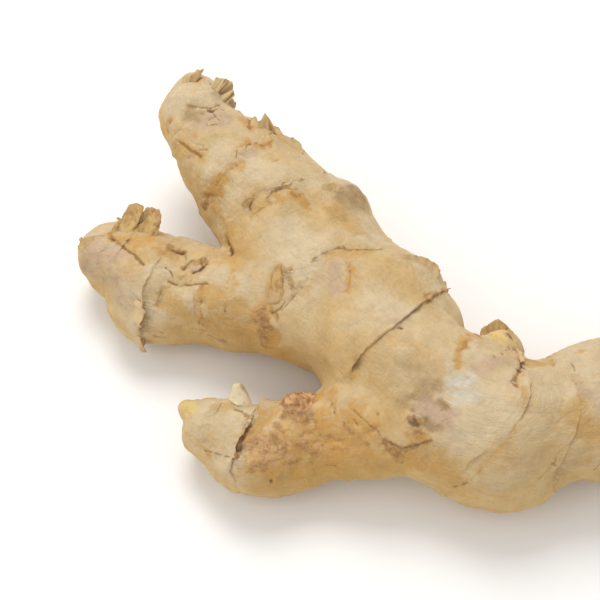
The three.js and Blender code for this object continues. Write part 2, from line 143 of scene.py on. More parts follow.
# Each ring's lip: [angle of its strongest side, half spread, strength there, strength elsewhere, darkness
# of the crack and painted shadow under it, how far its edge wanders in millimetres]
STEM_LIPS = [
    [20, 40, 0.4, 0.1, 0.1, 0.6], [-60, 40, 0.7, 0.15, 0.3, 0.8], [40, 50, 0.8, 0.3, 0.35, 0.9],
    [-10, 45, 0.9, 0.25, 0.4, 1.0], [-50, 40, 0.8, 0.2, 0.4, 0.9], [20, 75, 0.62, 0.15, 1.2, 0.3],
    [62, 28, 0.9, 0.18, 0.8, 0.5], [-60, 40, 0.5, 0.1, 0.4, 0.5], [-40, 60, 0.6, 0.2, 0.35, 0.5],
    [60, 70, 0.7, 0.3, 0.3, 0.5], [0, 80, 0.8, 0.4, 0.4, 0.5],
]
LEFT_LIPS = [
    [-30, 60, 0.3, 0.1, 0.05, 0.6], [75, 45, 1.0, 0.1, 0.3, 0.8], [-60, 60, 0.4, 0.1, 0.15, 0.6],
]
LOWER_LIPS = [
    [20, 60, 0.25, 0.05, 0.05, 0.5], [20, 38, 0.8, 0.2, 0.2, 0.9], [-60, 60, 0.4, 0.1, 0.2, 0.6],
]

# Marks on the skin as the photo shows them: kind, the pixels that the mark runs through, its reach in
# millimetres, and its strength
MARKS = [
    # the upper finger
    ("pale", [(190, 94), (226, 94)], 4.5, 0.9),
    ("pale", [(222, 150), (262, 176)], 3.6, 0.9),
    ("pale", [(264, 170), (276, 180)], 3.0, 0.7),
    ("ochre", [(178, 152), (194, 184)], 3.6, 0.7),
    # Painted shadow of the torn ring, in ochre
    ("ochre", [(240, 164), (225, 174), (212, 190)], 1.8, 1.0),
    ("ochre", [(228, 232), (236, 262)], 3.0, 0.7),
    ("amber", [(183, 79), (198, 80), (204, 71)], 1.2, 0.8),
    ("burn", [(190, 80), (197, 79), (203, 72)], 0.5, 0.95),
    ("shade", [(218, 78), (224, 80)], 0.7, 0.9),
    ("shade", [(229, 84), (233, 87)], 0.8, 0.9),
    ("blush", [(162, 97), (161, 108)], 1.3, 0.8),
    ("rust", [(185, 107), (196, 107)], 0.7, 0.95),
    ("shade", [(188, 111), (200, 116)], 2.0, 0.8),
    ("line", [(190, 106), (197, 107), (210, 110), (219, 106)], 0.45, 0.75),
    ("burn", [(208, 112), (215, 113)], 0.5, 0.95),
    ("line", [(215, 112), (223, 111)], 0.4, 0.7),
    ("line", [(213, 113), (215, 118)], 0.45, 0.8),
    ("blush", [(203, 122), (222, 121)], 2.8, 1.0),
    ("line", [(208, 121), (214, 119), (220, 122)], 0.4, 0.65),
    ("line", [(207, 127), (217, 126)], 0.4, 0.65),
    ("amber", [(170, 120), (166, 127), (164, 131)], 1.1, 1.0),
    ("line", [(170, 120), (168, 128), (165, 131)], 0.5, 0.85),
    ("amber", [(183, 134), (198, 135)], 2.2, 0.55),
    ("amber", [(184, 145), (200, 157)], 1.3, 0.8),
    ("line", [(180, 141), (191, 151), (200, 156)], 0.5, 0.95),
    ("line", [(194, 150), (206, 150)], 0.4, 0.68),
    ("line", [(186, 151), (190, 158)], 0.4, 0.65),
    ("line", [(193, 143), (203, 146)], 0.4, 0.62),
    ("amber", [(243, 122), (249, 126)], 1.8, 0.8),
    ("rust", [(250, 118), (249, 127)], 0.9, 1.1),
    ("amber", [(250, 145), (262, 148), (271, 144)], 1.8, 0.9),
    ("rust", [(264, 146), (272, 143)], 0.9, 0.85),
    ("line", [(250, 144), (257, 143), (263, 147)], 0.45, 0.75),
    ("line", [(262, 149), (273, 149)], 0.4, 0.65),
    ("line", [(273, 161), (279, 160)], 0.4, 0.7),
    ("blush", [(247, 155), (258, 150)], 1.7, 0.9),
    # Painted shadow line of the torn ring
    ("line", [(236, 165), (225, 173), (215, 184)], 0.45, 0.68),
    ("amber", [(219, 182), (208, 198)], 2.6, 1.0),
    ("rust", [(207, 197), (216, 195)], 1.1, 0.9),
    ("rust", [(212, 197), (203, 206)], 1.3, 1.0),
    ("amber", [(214, 206), (228, 234)], 2.6, 0.7),
    ("amber", [(231, 240), (235, 284)], 1.2, 0.65),
    # Brown crease, and painted shade in the notch where the left finger meets the stem
    ("rust", [(224, 238), (232, 252)], 1.4, 0.9),
    ("burn", [(226, 243), (231, 253)], 0.8, 1.1),
    # the torn ring above the knob, and the knob
    ("line", [(251, 202), (248, 207), (249, 211)], 0.5, 0.9),
    ("line", [(249, 217), (260, 210), (270, 204)], 0.4, 0.72),
    ("rust", [(265, 199), (271, 205)], 0.7, 0.85),
    ("line", [(266, 199), (272, 191), (280, 188)], 0.45, 0.85),
    ("amber", [(274, 194), (281, 201)], 1.2, 0.8),
    ("line", [(280, 188), (291, 188), (300, 189)], 0.4, 0.75),
    ("amber", [(290, 193), (298, 195), (308, 203)], 1.3, 1.2),
    ("rust", [(291, 193), (301, 196)], 0.7, 0.9),
    ("line", [(300, 188), (309, 198)], 0.4, 0.62),
    ("ochre", [(252, 214), (272, 203)], 1.6, 0.7),
    ("shade", [(340, 198), (361, 195)], 4.0, 0.95),
    ("shade", [(338, 222), (349, 206)], 3.0, 0.65),
    ("ochre", [(336, 212), (352, 226)], 2.6, 0.8),
    ("burn", [(367, 194), (367, 199)], 0.6, 0.8),
    # the stem's middle
    ("pale", [(290, 226), (310, 250)], 4.4, 0.9),
    ("pale", [(300, 250), (282, 262)], 2.6, 0.8),
    ("pale", [(366, 216), (378, 240)], 3.0, 0.6),
    # Pale skin with a painted highlight where the body faces the light
    ("pale", [(374, 298), (398, 308)], 4.4, 1.0),
    ("pale", [(346, 320), (372, 322)], 4.0, 0.6),
    ("ochre", [(238, 228), (246, 262)], 3.2, 0.6),
    ("ochre", [(326, 257), (350, 253), (366, 252)], 1.6, 0.8),
    ("line", [(313, 259), (322, 253), (332, 249), (350, 249)], 0.42, 0.75),
    ("line", [(343, 247), (350, 250), (368, 249), (380, 250)], 0.45, 0.82),
    # Painted shadow under a ring's lip
    ("shade", [(300, 267), (318, 261)], 1.5, 0.5),
    ("rust", [(286, 273), (296, 271)], 1.3, 0.65),
    ("rust", [(288, 277), (295, 291)], 1.7, 0.8),
    ("line", [(308, 278), (300, 291), (292, 300), (282, 310)], 0.42, 0.72),
    ("ochre", [(277, 268), (272, 296)], 1.9, 1.2),
    ("rust", [(280, 275), (277, 298)], 0.9, 0.8),
    ("line", [(284, 303), (280, 309), (272, 314)], 0.5, 0.9),
    ("rust", [(272, 313), (278, 318)], 0.9, 0.8),
    ("amber", [(262, 316), (272, 344)], 2.9, 1.1),
    ("rust", [(262, 314), (268, 329)], 1.6, 1.1),
    ("rust", [(259, 322), (263, 344)], 1.4, 1.0),
    ("cork", [(259, 316), (270, 330)], 2.2, 0.7),
    ("blush", [(335, 273), (337, 288)], 2.4, 1.1),
    ("amber", [(349, 262), (350, 280), (346, 291)], 1.2, 0.8),
    ("line", [(349, 267), (351, 282), (345, 292)], 0.4, 0.65),
    ("blush", [(388, 322), (400, 319)], 1.0, 0.8),
    ("burn", [(398, 327), (401, 328)], 0.6, 0.9),
    ("rust", [(427, 299), (437, 292)], 0.9, 1.0),
    ("rust", [(440, 290), (446, 292)], 1.0, 0.8),
    # Painted shadow at the lower end of a ring's lip
    ("shade", [(356, 358), (356, 367)], 0.9, 0.8),
    ("ochre", [(354, 360), (352, 378)], 1.2, 0.8),
    # the right part of the stem
    ("pale", [(478, 398), (502, 420)], 5.5, 1.1),
    ("pale", [(462, 430), (492, 424)], 4.0, 0.8),
    ("pale", [(468, 348), (478, 358)], 2.2, 0.7),
    ("pale", [(544, 396), (558, 412)], 3.0, 0.6),
    ("ochre", [(380, 380), (394, 420)], 4.6, 0.5),
    ("ochre", [(430, 456), (446, 476)], 3.6, 0.9),
    ("ochre", [(470, 490), (512, 496)], 3.4, 0.6),
    ("ochre", [(524, 390), (523, 402)], 1.5, 0.9),
    ("ochre", [(517, 425), (510, 437), (497, 452), (480, 470)], 1.2, 0.7),
    ("ochre", [(530, 362), (548, 360)], 2.0, 0.9),
    ("ochre", [(575, 410), (594, 434)], 4.4, 0.9),
    ("shade", [(560, 470), (596, 440)], 5.0, 0.35),
    ("amber", [(466, 338), (460, 350), (459, 363)], 1.4, 1.0),
    ("rust", [(467, 341), (461, 351)], 0.6, 0.75),
    ("amber", [(470, 334), (482, 336)], 1.6, 1.1),
    ("rust", [(476, 333), (481, 335)], 0.7, 0.75),
    ("blush", [(482, 368), (500, 360)], 2.6, 1.0),
    ("burn", [(494, 354), (494, 356)], 0.5, 0.85),
    ("burn", [(502, 351), (503, 352)], 0.6, 0.9),
    ("gold", [(495, 331), (499, 335)], 2.0, 1.0),
    # Painted shadow under the bud's cup
    ("rust", [(500, 342), (512, 346)], 0.8, 0.8),
    ("burn", [(509, 333), (513, 338)], 0.8, 0.9),
    ("line", [(506, 348), (518, 348)], 0.4, 0.7),
    # Painted shade in a shallow dent
    ("shade", [(408, 396), (430, 391)], 3.0, 0.75),
    ("shade", [(405, 404), (420, 408)], 2.6, 0.45),
    ("blush", [(425, 402), (442, 415)], 3.4, 1.0),
    ("shade", [(440, 403), (447, 406)], 1.1, 1.1),
    ("burn", [(443, 404), (445, 406)], 0.5, 0.7),
    ("burn", [(409, 422), (414, 425)], 0.9, 0.95),
    ("burn", [(413, 414), (415, 421)], 0.6, 0.85),
    ("rust", [(409, 416), (420, 422)], 1.4, 1.1),
    ("shade", [(420, 424), (434, 426)], 1.5, 1.1),
    ("rust", [(410, 431), (422, 434)], 1.2, 0.75),
    ("amber", [(410, 436), (426, 437)], 1.6, 0.9),
    # Grey-white rubbed skin, and a painted sheen where it is glossy
    ("ash_and_sheen", [(459, 383), (472, 379)], 1.8, 1.0),
    ("ash_and_sheen", [(455, 392), (472, 395)], 2.6, 0.8),
    ("line", [(463, 384), (468, 380)], 0.45, 0.65),
    ("rust", [(386, 443), (396, 453)], 1.3, 1.05),
    ("rust", [(398, 447), (415, 446)], 1.0, 1.05),
    ("rust", [(415, 446), (432, 441)], 0.9, 0.95),
    ("rust", [(398, 452), (402, 460)], 1.3, 0.85),
    ("line", [(384, 441), (400, 447), (416, 446), (431, 441)], 0.42, 0.8),
    ("line", [(386, 442), (390, 454), (400, 462)], 0.4, 0.72),
    ("amber", [(405, 455), (421, 466)], 2.2, 0.9),
    ("amber", [(425, 450), (441, 460)], 3.0, 0.6),
    ("rust", [(402, 472), (406, 474)], 0.6, 0.8),
    ("line", [(450, 488), (458, 486), (472, 480), (482, 468)], 0.4, 0.68),
    ("amber", [(526, 358), (516, 382)], 1.3, 0.7),
    ("burn", [(524, 357), (523, 363)], 0.5, 0.85),
    ("burn", [(519, 367), (521, 369)], 0.7, 0.95),
    ("line", [(523, 363), (520, 368), (517, 374)], 0.45, 0.95),
    ("line", [(515, 377), (514, 380)], 0.6, 0.85),
    ("line", [(516, 376), (510, 382), (518, 387)], 0.42, 0.8),
    ("line", [(560, 452), (555, 466), (545, 474), (538, 480)], 0.4, 0.66),
    ("line", [(554, 464), (556, 467)], 0.6, 0.8),
    ("amber", [(545, 357), (550, 364)], 1.2, 0.7),
    ("line", [(552, 358), (553, 366)], 0.4, 0.68),
    ("amber", [(574, 354), (583, 352)], 0.9, 0.8),
    ("line", [(573, 364), (574, 371)], 0.4, 0.68),
    ("blush", [(528, 406), (536, 411)], 1.6, 0.7),
    ("blush", [(585, 392), (598, 395)], 2.4, 0.8),
    ("line", [(592, 474), (599, 466)], 0.4, 0.68),
    # the left finger
    ("pale", [(136, 334), (128, 318)], 2.4, 0.8),
    ("pale", [(213, 268), (226, 278)], 2.2, 0.8),
    ("ochre", [(214, 296), (250, 314)], 4.6, 0.85),
    ("pale", [(152, 267), (164, 272)], 2.0, 1.1),
    ("pale", [(92, 235), (106, 231)], 1.6, 0.7),
    ("blush", [(90, 246), (116, 252)], 3.4, 1.0),
    ("blush", [(86, 258), (90, 276)], 2.8, 0.8),
    ("blush", [(110, 270), (122, 296)], 4.0, 0.6),
    ("shade", [(92, 262), (108, 286)], 5.0, 0.52),
    ("shade", [(118, 300), (138, 316)], 4.0, 0.42),
    ("ochre", [(165, 301), (190, 312)], 3.0, 1.0),
    ("ochre", [(214, 326), (256, 336)], 3.6, 0.9),
    ("amber", [(212, 318), (240, 330)], 3.2, 0.5),
    ("line", [(83, 241), (92, 238), (104, 236)], 0.4, 0.66),
    ("line", [(100, 251), (104, 249)], 0.5, 0.75),
    ("amber", [(108, 236), (124, 238)], 1.6, 0.9),
    ("rust", [(109, 234), (114, 238), (120, 243)], 0.8, 1.0),
    ("burn", [(111, 236), (116, 239)], 0.5, 0.8),
    ("amber", [(125, 243), (138, 250)], 1.4, 0.8),
    ("line", [(122, 244), (130, 251), (137, 258), (143, 264)], 0.5, 1.05),
    ("amber", [(136, 240), (168, 252)], 2.6, 0.75),
    ("burn", [(174, 249), (182, 252)], 0.6, 0.95),
    ("rust", [(170, 247), (184, 251)], 1.0, 0.95),
    ("line", [(184, 250), (186, 257)], 0.45, 0.75),
    ("blush", [(190, 266), (203, 268)], 1.5, 0.8),
    ("rust", [(184, 266), (193, 262), (206, 262)], 1.0, 1.0),
    ("burn", [(184, 268), (188, 262), (193, 259)], 0.5, 0.9),
    ("burn", [(193, 272), (200, 270), (207, 264)], 0.5, 0.9),
    ("line", [(200, 260), (203, 266)], 0.45, 0.85),
    ("rust", [(181, 277), (190, 278)], 0.9, 0.75),
    ("line", [(191, 273), (190, 281)], 0.45, 0.8),
    ("line", [(166, 268), (170, 272), (172, 276)], 0.5, 0.9),
    ("line", [(168, 281), (180, 285), (208, 284)], 0.45, 0.88),
    ("amber", [(202, 286), (201, 320)], 1.1, 1.2),
    ("rust", [(202, 287), (201, 318)], 0.7, 1.1),
    ("line", [(201, 300), (200, 318)], 0.4, 0.72),
    ("rust", [(196, 324), (204, 328)], 0.8, 0.8),
    ("rust", [(193, 331), (205, 332)], 0.7, 0.75),
    ("rust", [(208, 336), (226, 341)], 0.8, 0.75),
    ("line", [(224, 308), (225, 311)], 0.5, 0.85),
    # Painted shadow cast by the edge of the pale scale on the left finger
    ("shade", [(160, 291), (157, 304)], 1.0, 0.8),
    ("line", [(170, 287), (161, 290), (157, 298), (155, 308)], 0.4, 0.66),
    ("line", [(155, 308), (152, 318), (138, 324)], 0.4, 0.62),
    ("shade", [(139, 325), (148, 330)], 1.1, 0.7),
    ("line", [(151, 331), (163, 333)], 0.4, 0.68),
    ("rust", [(152, 337), (166, 337)], 0.6, 0.9),
    # the lower finger
    ("pale", [(214, 416), (232, 430)], 4.0, 0.6),
    ("pale", [(226, 470), (252, 484)], 3.6, 0.6),
    ("shade", [(204, 424), (226, 444)], 4.5, 0.4),
    ("ochre", [(262, 482), (330, 472), (392, 462)], 5.0, 0.85),
    ("amber", [(262, 462), (300, 468), (340, 462)], 3.6, 0.8),
    ("amber", [(300, 425), (345, 436), (366, 452)], 4.0, 0.85),
    ("cork", [(296, 440), (318, 452)], 2.6, 0.6),
    ("rust", [(300, 446), (312, 452)], 1.2, 0.8),
    ("rust", [(330, 450), (346, 448)], 1.0, 0.75),
    ("rust", [(276, 424), (284, 432)], 1.2, 0.8),
    ("rust", [(246, 458), (254, 470)], 1.1, 0.75),
    ("pale", [(268, 423), (276, 428)], 1.6, 0.8),
    ("pale", [(290, 429), (300, 437)], 1.8, 0.9),
    ("ochre", [(214, 406), (235, 405)], 1.6, 0.8),
    ("ochre", [(304, 450), (344, 460)], 4.0, 0.8),
    ("gold", [(185, 402), (192, 409)], 1.8, 0.85),
    ("line", [(187, 412), (191, 419)], 0.4, 0.66),
    # Painted shade in a faint crease
    ("shade", [(206, 438), (214, 426), (224, 428)], 0.9, 0.45),
    # Rust-brown crack, and the painted shadow beside the lower finger's ring lip
    ("line", [(236, 409), (243, 411)], 0.5, 0.8),
    ("rust", [(246, 412), (248, 432)], 0.9, 0.85),
    ("rust", [(244, 434), (243, 450)], 1.0, 0.65),
    ("line", [(246, 420), (247, 430), (243, 436), (237, 447), (236, 456)], 0.5, 0.95),
    ("burn", [(241, 445), (239, 452)], 0.7, 0.9),
    ("line", [(203, 450), (215, 453), (228, 456), (238, 457)], 0.42, 0.82),
    ("amber", [(204, 449), (210, 456)], 0.9, 0.8),
    ("shade", [(208, 453), (232, 458)], 0.8, 0.5),
    ("cork", [(255, 440), (278, 450)], 3.4, 0.85),
    ("amber", [(256, 434), (282, 456)], 3.8, 1.0),
    ("cork", [(262, 462), (272, 458)], 2.0, 0.7),
    ("rust", [(260, 463), (266, 465)], 0.7, 0.85),
    ("rust", [(262, 470), (265, 468)], 0.6, 0.75),
    ("blush", [(265, 432), (281, 441)], 1.8, 0.6),
    ("burn", [(271, 479), (271, 481)], 0.6, 0.9),
    # Brown-mauve skin, and painted shade in the hollow under the scar
    ("shade", [(288, 417), (298, 418), (308, 412)], 1.7, 1.1),
    ("rust", [(287, 418), (299, 420), (308, 414)], 1.5, 1.05),
    ("burn", [(294, 413), (305, 412)], 0.8, 0.75),
    ("amber", [(316, 398), (318, 426)], 2.6, 1.1),
    ("amber", [(288, 442), (330, 452)], 4.4, 1.0),
    ("amber", [(262, 418), (270, 470)], 3.4, 0.9),
    ("rust", [(252, 426), (258, 444)], 1.2, 0.7),
    ("rust", [(268, 436), (284, 446)], 1.1, 0.7),
    ("rust", [(284, 462), (300, 458)], 0.9, 0.68),
    ("rust", [(320, 436), (340, 440)], 0.9, 0.7),
    ("rust", [(306, 430), (318, 438)], 0.9, 0.7),
    ("rust", [(314, 420), (316, 430)], 0.9, 0.75),
    ("amber", [(333, 394), (336, 414)], 2.2, 0.9),
    ("rust", [(332, 402), (334, 414)], 0.8, 0.8),
    ("burn", [(333, 412), (334, 414)], 0.5, 0.8),
    ("amber", [(350, 412), (366, 430)], 3.4, 0.95),
    ("rust", [(344, 424), (352, 434)], 1.0, 0.7),
    ("rust", [(358, 436), (366, 446)], 0.9, 0.65),
    ("line", [(352, 410), (362, 417), (376, 431), (384, 440)], 0.42, 0.72),
    ("line", [(355, 420), (357, 426)], 0.5, 0.8),
    ("rust", [(370, 432), (375, 430)], 0.6, 0.75),
    ("line", [(305, 444), (318, 442), (330, 443)], 0.36, 0.66),
    ("line", [(326, 463), (337, 466)], 0.36, 0.66),
    ("line", [(232, 398), (236, 402)], 0.4, 0.7),
]
# Marks where the photo shows nothing: kind, limb, place along it, angle round it, reach, strength
UNSEEN_MARKS = [
    ("rust", "stem", 178, 0, 5.0, 0.7), ("burn", "stem", 179, 10, 2.4, 0.8),
    ("shade", "stem", 72, 165, 5.0, 0.8), ("cork", "stem", 128, 170, 4.0, 0.8),
    ("rust", "stem", 100, -150, 2.0, 0.8), ("amber", "stem", 104, -145, 4.0, 0.8),
    ("burn", "stem", 118, 150, 1.0, 0.9), ("blush", "stem", 20, 150, 4.0, 0.8),
    ("amber", "left", 34, 150, 4.0, 0.7), ("rust", "left", 40, -120, 1.6, 0.8),
    ("cork", "lower", 22, 165, 3.0, 0.8), ("rust", "lower", 34, -130, 1.4, 0.8),
]
MARK_KINDS = ("pale", "ochre", "blush", "shade", "amber", "cork", "rust", "burn", "line", "ash_and_sheen", "gold")
# The marks along which the skin's mesh is divided more finely, round by round, and how far beyond them in
# millimetres
FINER_ROUNDS = ((("line", "burn", "rust"), 1.0), (("line",), 0.7))

# Torn edges along the rings: [limb, ring, first angle, last angle, reach, rise of the edge]
TORN_RINGS = [
    ["stem", 1, 60, 95, 0.7, 0.2], ["stem", 6, 30, 66, 0.6, 0.15],
    ["stem", 9, -60, 90, 0.7, 0.15], ["stem", 10, -180, 180, 1.4, 0.5], ["left", 1, 45, 105, 0.7, 0.2],
    ["left", 2, -90, -30, 0.9, 0.3], ["stem", 3, 110, 200, 1.2, 0.3], ["stem", 5, 100, 200, 1.0, 0.3],
    ["stem", 8, 100, 200, 1.2, 0.3],
]
# Dry scales that follow the skin: [limb, place, angle, spread, length, rise, toward, dryness]
SCALES = [
    ["left", 60, -60, 60, 2.6, 35, 1, 0.7], ["stem", 91, 84, 20, 2.2, 20, -1, 0.6],
]
# Torn flaps: the pixels of the photo that the line they are rooted on and their free edge run through, how
# far they bow, how deep their edge is torn, and how dry and brown they are. A flap with a lift lies over the
# skin, that far off it in millimetres, and the others stand free.
FLAPS = [
    {"foot": [(111, 233), (119, 230), (127, 232), (134, 231)],
     "edge": [(112, 228), (121, 221), (126, 212), (131, 205), (138, 203), (145, 206), (143, 213), (139, 222),
              (134, 229)],
     "bow": 0.8, "tear": 0.03, "dry": 0.8, "lift": None},
    {"foot": [(134, 231), (144, 232), (151, 235), (157, 236)],
     "edge": [(135, 229), (143, 222), (150, 216), (156, 211), (160, 209), (162, 214), (161, 224), (158, 233)],
     "bow": 0.6, "tear": 0.03, "dry": 0.85, "lift": None},
    {"foot": [(137, 227), (145, 227), (153, 228)],
     "edge": [(139, 216), (146, 207), (152, 206), (158, 209), (158, 219)],
     "bow": 0.3, "tear": 0.05, "dry": 0.15, "lift": None},
    {"foot": [(82, 252), (86, 245), (94, 240)],
     "edge": [(77, 247), (77, 241), (81, 236), (86, 238), (93, 235)],
     "bow": 0.3, "tear": 0.3, "dry": 0.4, "lift": None},
    {"foot": [(183, 83), (190, 81), (198, 80)],
     "edge": [(182, 78), (187, 74), (192, 74), (197, 68), (204, 69)],
     "bow": 0.5, "tear": 0.12, "dry": 0.2, "lift": None},
    {"foot": [(216, 80), (223, 84), (229, 88), (232, 95)],
     "edge": [(217, 76), (222, 78), (228, 79), (233, 82), (234, 88), (235, 95)],
     "bow": 0.2, "tear": 0.04, "dry": 0.0, "lift": None},
    {"foot": [(250, 125), (258, 128), (266, 128), (274, 133), (283, 141), (292, 147), (302, 154)],
     "edge": [(251, 118), (253, 117), (255, 115), (258, 121), (261, 120), (265, 113), (270, 119), (273, 126),
              (279, 127), (284, 135), (288, 139), (296, 139), (301, 143), (305, 151)],
     "bow": 0.3, "tear": 0.05, "dry": 0.05, "lift": None},
    {"foot": [(322, 190), (332, 189), (342, 192)],
     "edge": [(323, 184), (329, 183), (334, 180), (339, 184), (344, 187)],
     "bow": 0.2, "tear": 0.25, "dry": 0.3, "lift": None},
    {"foot": [(401, 258), (410, 259), (419, 262), (427, 266), (434, 271), (438, 278)],
     "edge": [(401, 254), (409, 253), (418, 255), (427, 257), (435, 261), (441, 269)],
     "bow": 0.2, "tear": 0.15, "dry": 0.0, "lift": None},
    {"foot": [(268, 297), (276, 298), (283, 293)],
     "edge": [(271, 284), (275, 270), (280, 262), (282, 268), (283, 281)],
     "bow": 0.9, "tear": 0.05, "dry": 0.8, "lift": 0.3},
    {"foot": [(484, 331), (490, 326), (498, 323), (506, 328), (512, 336), (516, 346), (519, 355)],
     "edge": [(482, 328), (489, 323), (499, 319), (508, 325), (515, 334), (519, 345), (522, 354)],
     "bow": 0.2, "tear": 0.06, "dry": 0.4, "lift": None},
]
BLADE_ROOT = 1.6

# Colours that no setting changes: scabs, cracks and stains, the buds, the scar, dry or torn skin, the painted
# shade in creases and the painted gold shade on the sides
SCAB_PALE = (0.55, 0.345, 0.19)
SCAB_DARK = (0.40, 0.215, 0.085)
DARK_STAIN = (0.29, 0.14, 0.042)
RING_FLUSH = (0.44, 0.245, 0.075)
# Thin brown lines, and the painted shade in the creases, folds and cracks they follow
CREASE_STAIN_AND_SHADE = (0.26, 0.14, 0.042)
YELLOW_BUD = (0.64, 0.47, 0.18)
IVORY_BUD = (0.74, 0.63, 0.43)
IVORY_STAIN = (0.50, 0.34, 0.15)
SCAR_DARK = (0.36, 0.17, 0.055)
SCAR_PALE = (0.62, 0.37, 0.17)
# Painted shade: the deeper gold laid over the skin turned away from above
PAINTED_SHADE_TINT = (1.0, 0.87, 0.56)
DRY_DARK = (0.32, 0.165, 0.045)
DRY_LIGHT = (0.56, 0.36, 0.12)
TORN_PALE = (0.64, 0.455, 0.225)
TORN_RIM = (0.46, 0.28, 0.10)
TORN_VEIN = (0.66, 0.49, 0.27)

# Where the photo's camera looks and how far away it stands, in millimetres, how steeply it looks down, and
# its lens and frame
CAMERA_TARGET = (-23.5, -1.9, 14.0)
CAMERA_DISTANCE = 416.7
CAMERA_SLANT = math.radians(58)
CAMERA_LENS = 100.0
FRAME_WIDTH = 36.0
PHOTO_PIXELS = 600


def colour_setting(name, description, default):
    return FloatVectorProperty(name=name, description=description, default=default, subtype="COLOR", size=3)


class SkinSettings(bpy.types.PropertyGroup):
    point_gap: FloatProperty(
        name="Point gap", description="How far apart the skin's points are", default=0.0008, unit="LENGTH")
    wrinkle_depth: FloatProperty(
        name="Wrinkle depth", description="How deep the broad wrinkles are", default=0.0009, unit="LENGTH")
    fibre_depth: FloatProperty(
        name="Fibre depth", description="How far the fine fibres stand out", default=0.00008, unit="LENGTH")
    pale: colour_setting("Pale", "The skin where it is young and dry", (0.61, 0.485, 0.305))
    tan: colour_setting("Tan", "The skin's common colour", (0.575, 0.398, 0.18))
    ochre: colour_setting("Ochre", "The yellow flush", (0.53, 0.315, 0.092))
    rust: colour_setting("Rust", "The orange-brown stains", (0.43, 0.24, 0.08))
    # Burn is also the colour of the painted shadow under the rings' lips
    burn: colour_setting("Burn", "Pits and cracks", (0.15, 0.07, 0.022))
    # Ash is the grey-white rubbed skin and a painted sheen over it
    ash_and_sheen: colour_setting("Ash", "The grey-white rubbed skin", (0.60, 0.56, 0.46))
    blush: colour_setting("Blush", "The pinkish grey skin", (0.53, 0.375, 0.245))
    amber: colour_setting("Amber", "The orange flush round a wound", (0.53, 0.29, 0.075))
    # Shade paints brown-grey bruises, and painted shade in dents, hollows and creases
    shade: colour_setting("Shade", "The brown-grey bruises", (0.34, 0.22, 0.095))


class FlakeSettings(bpy.types.PropertyGroup):
    spacing: FloatProperty(
        name="Spacing", description="How far apart the flakes of a ring are", default=0.0032, unit="LENGTH")
    length: FloatProperty(
        name="Length", description="How far a flake reaches from its ring", default=0.0019, unit="LENGTH")
    thickness: FloatProperty(
        name="Thickness", description="How thick a flake is", default=0.00014, unit="LENGTH")
    seed: IntProperty(name="Seed", description="The draw that places and sizes the flakes", default=7)


class StageSettings(bpy.types.PropertyGroup):
    elevation: FloatProperty(
        name="Elevation", description="How far above level the camera stands", default=CAMERA_SLANT,
        unit="ROTATION")
    lens: FloatProperty(
        name="Lens", description="The camera's lens, for a 36 mm frame", default=CAMERA_LENS, unit="CAMERA")
    key_power: FloatProperty(
        name="Key light", description="Power of the large soft light", default=3.55, unit="POWER")
    floor: colour_setting("Floor", "The plain floor's colour", (0.94, 0.94, 0.94))


def spline(points, steps=48):
    """Smooth curve through the points: its places and its directions."""
    points = np.asarray(points, float)
    padded = np.vstack([2 * points[0] - points[1], points, 2 * points[-1] - points[-2]])
    share = np.linspace(0, 1, steps, endpoint=False)[:, None]
    places, ways = [], []
    for i in range(len(points) - 1):
        before, start, end, after = padded[i:i + 4]
        line = end - before
        bend = 2 * before - 5 * start + 4 * end - after
        twist = 3 * start - before - 3 * end + after
        places.append(start + 0.5 * (line * share + bend * share ** 2 + twist * share ** 3))
        ways.append(0.5 * (line + 2 * bend * share + 3 * twist * share ** 2))
    places.append(points[-1:])
    ways.append(ways[-1][-1:])
    return np.vstack(places), np.vstack(ways)


def unit(vectors):
    return vectors / np.maximum(np.linalg.norm(vectors, axis=-1, keepdims=True), 1e-12)


def wrapped(angle):
    return np.arctan2(np.sin(angle), np.cos(angle))


ROUND = np.linspace(-math.pi, math.pi, 721)


def ring_noise(seed, size, octaves):
    """Noise round a ring of skin, at the angles of ROUND, with features of a size in millimetres."""
    radius = 14 / size
    return np.array([
        noise.fractal((radius * math.cos(turn), radius * math.sin(turn), 7.3 * seed), 0.8, 2.0, octaves)
        for turn in ROUND
    ])


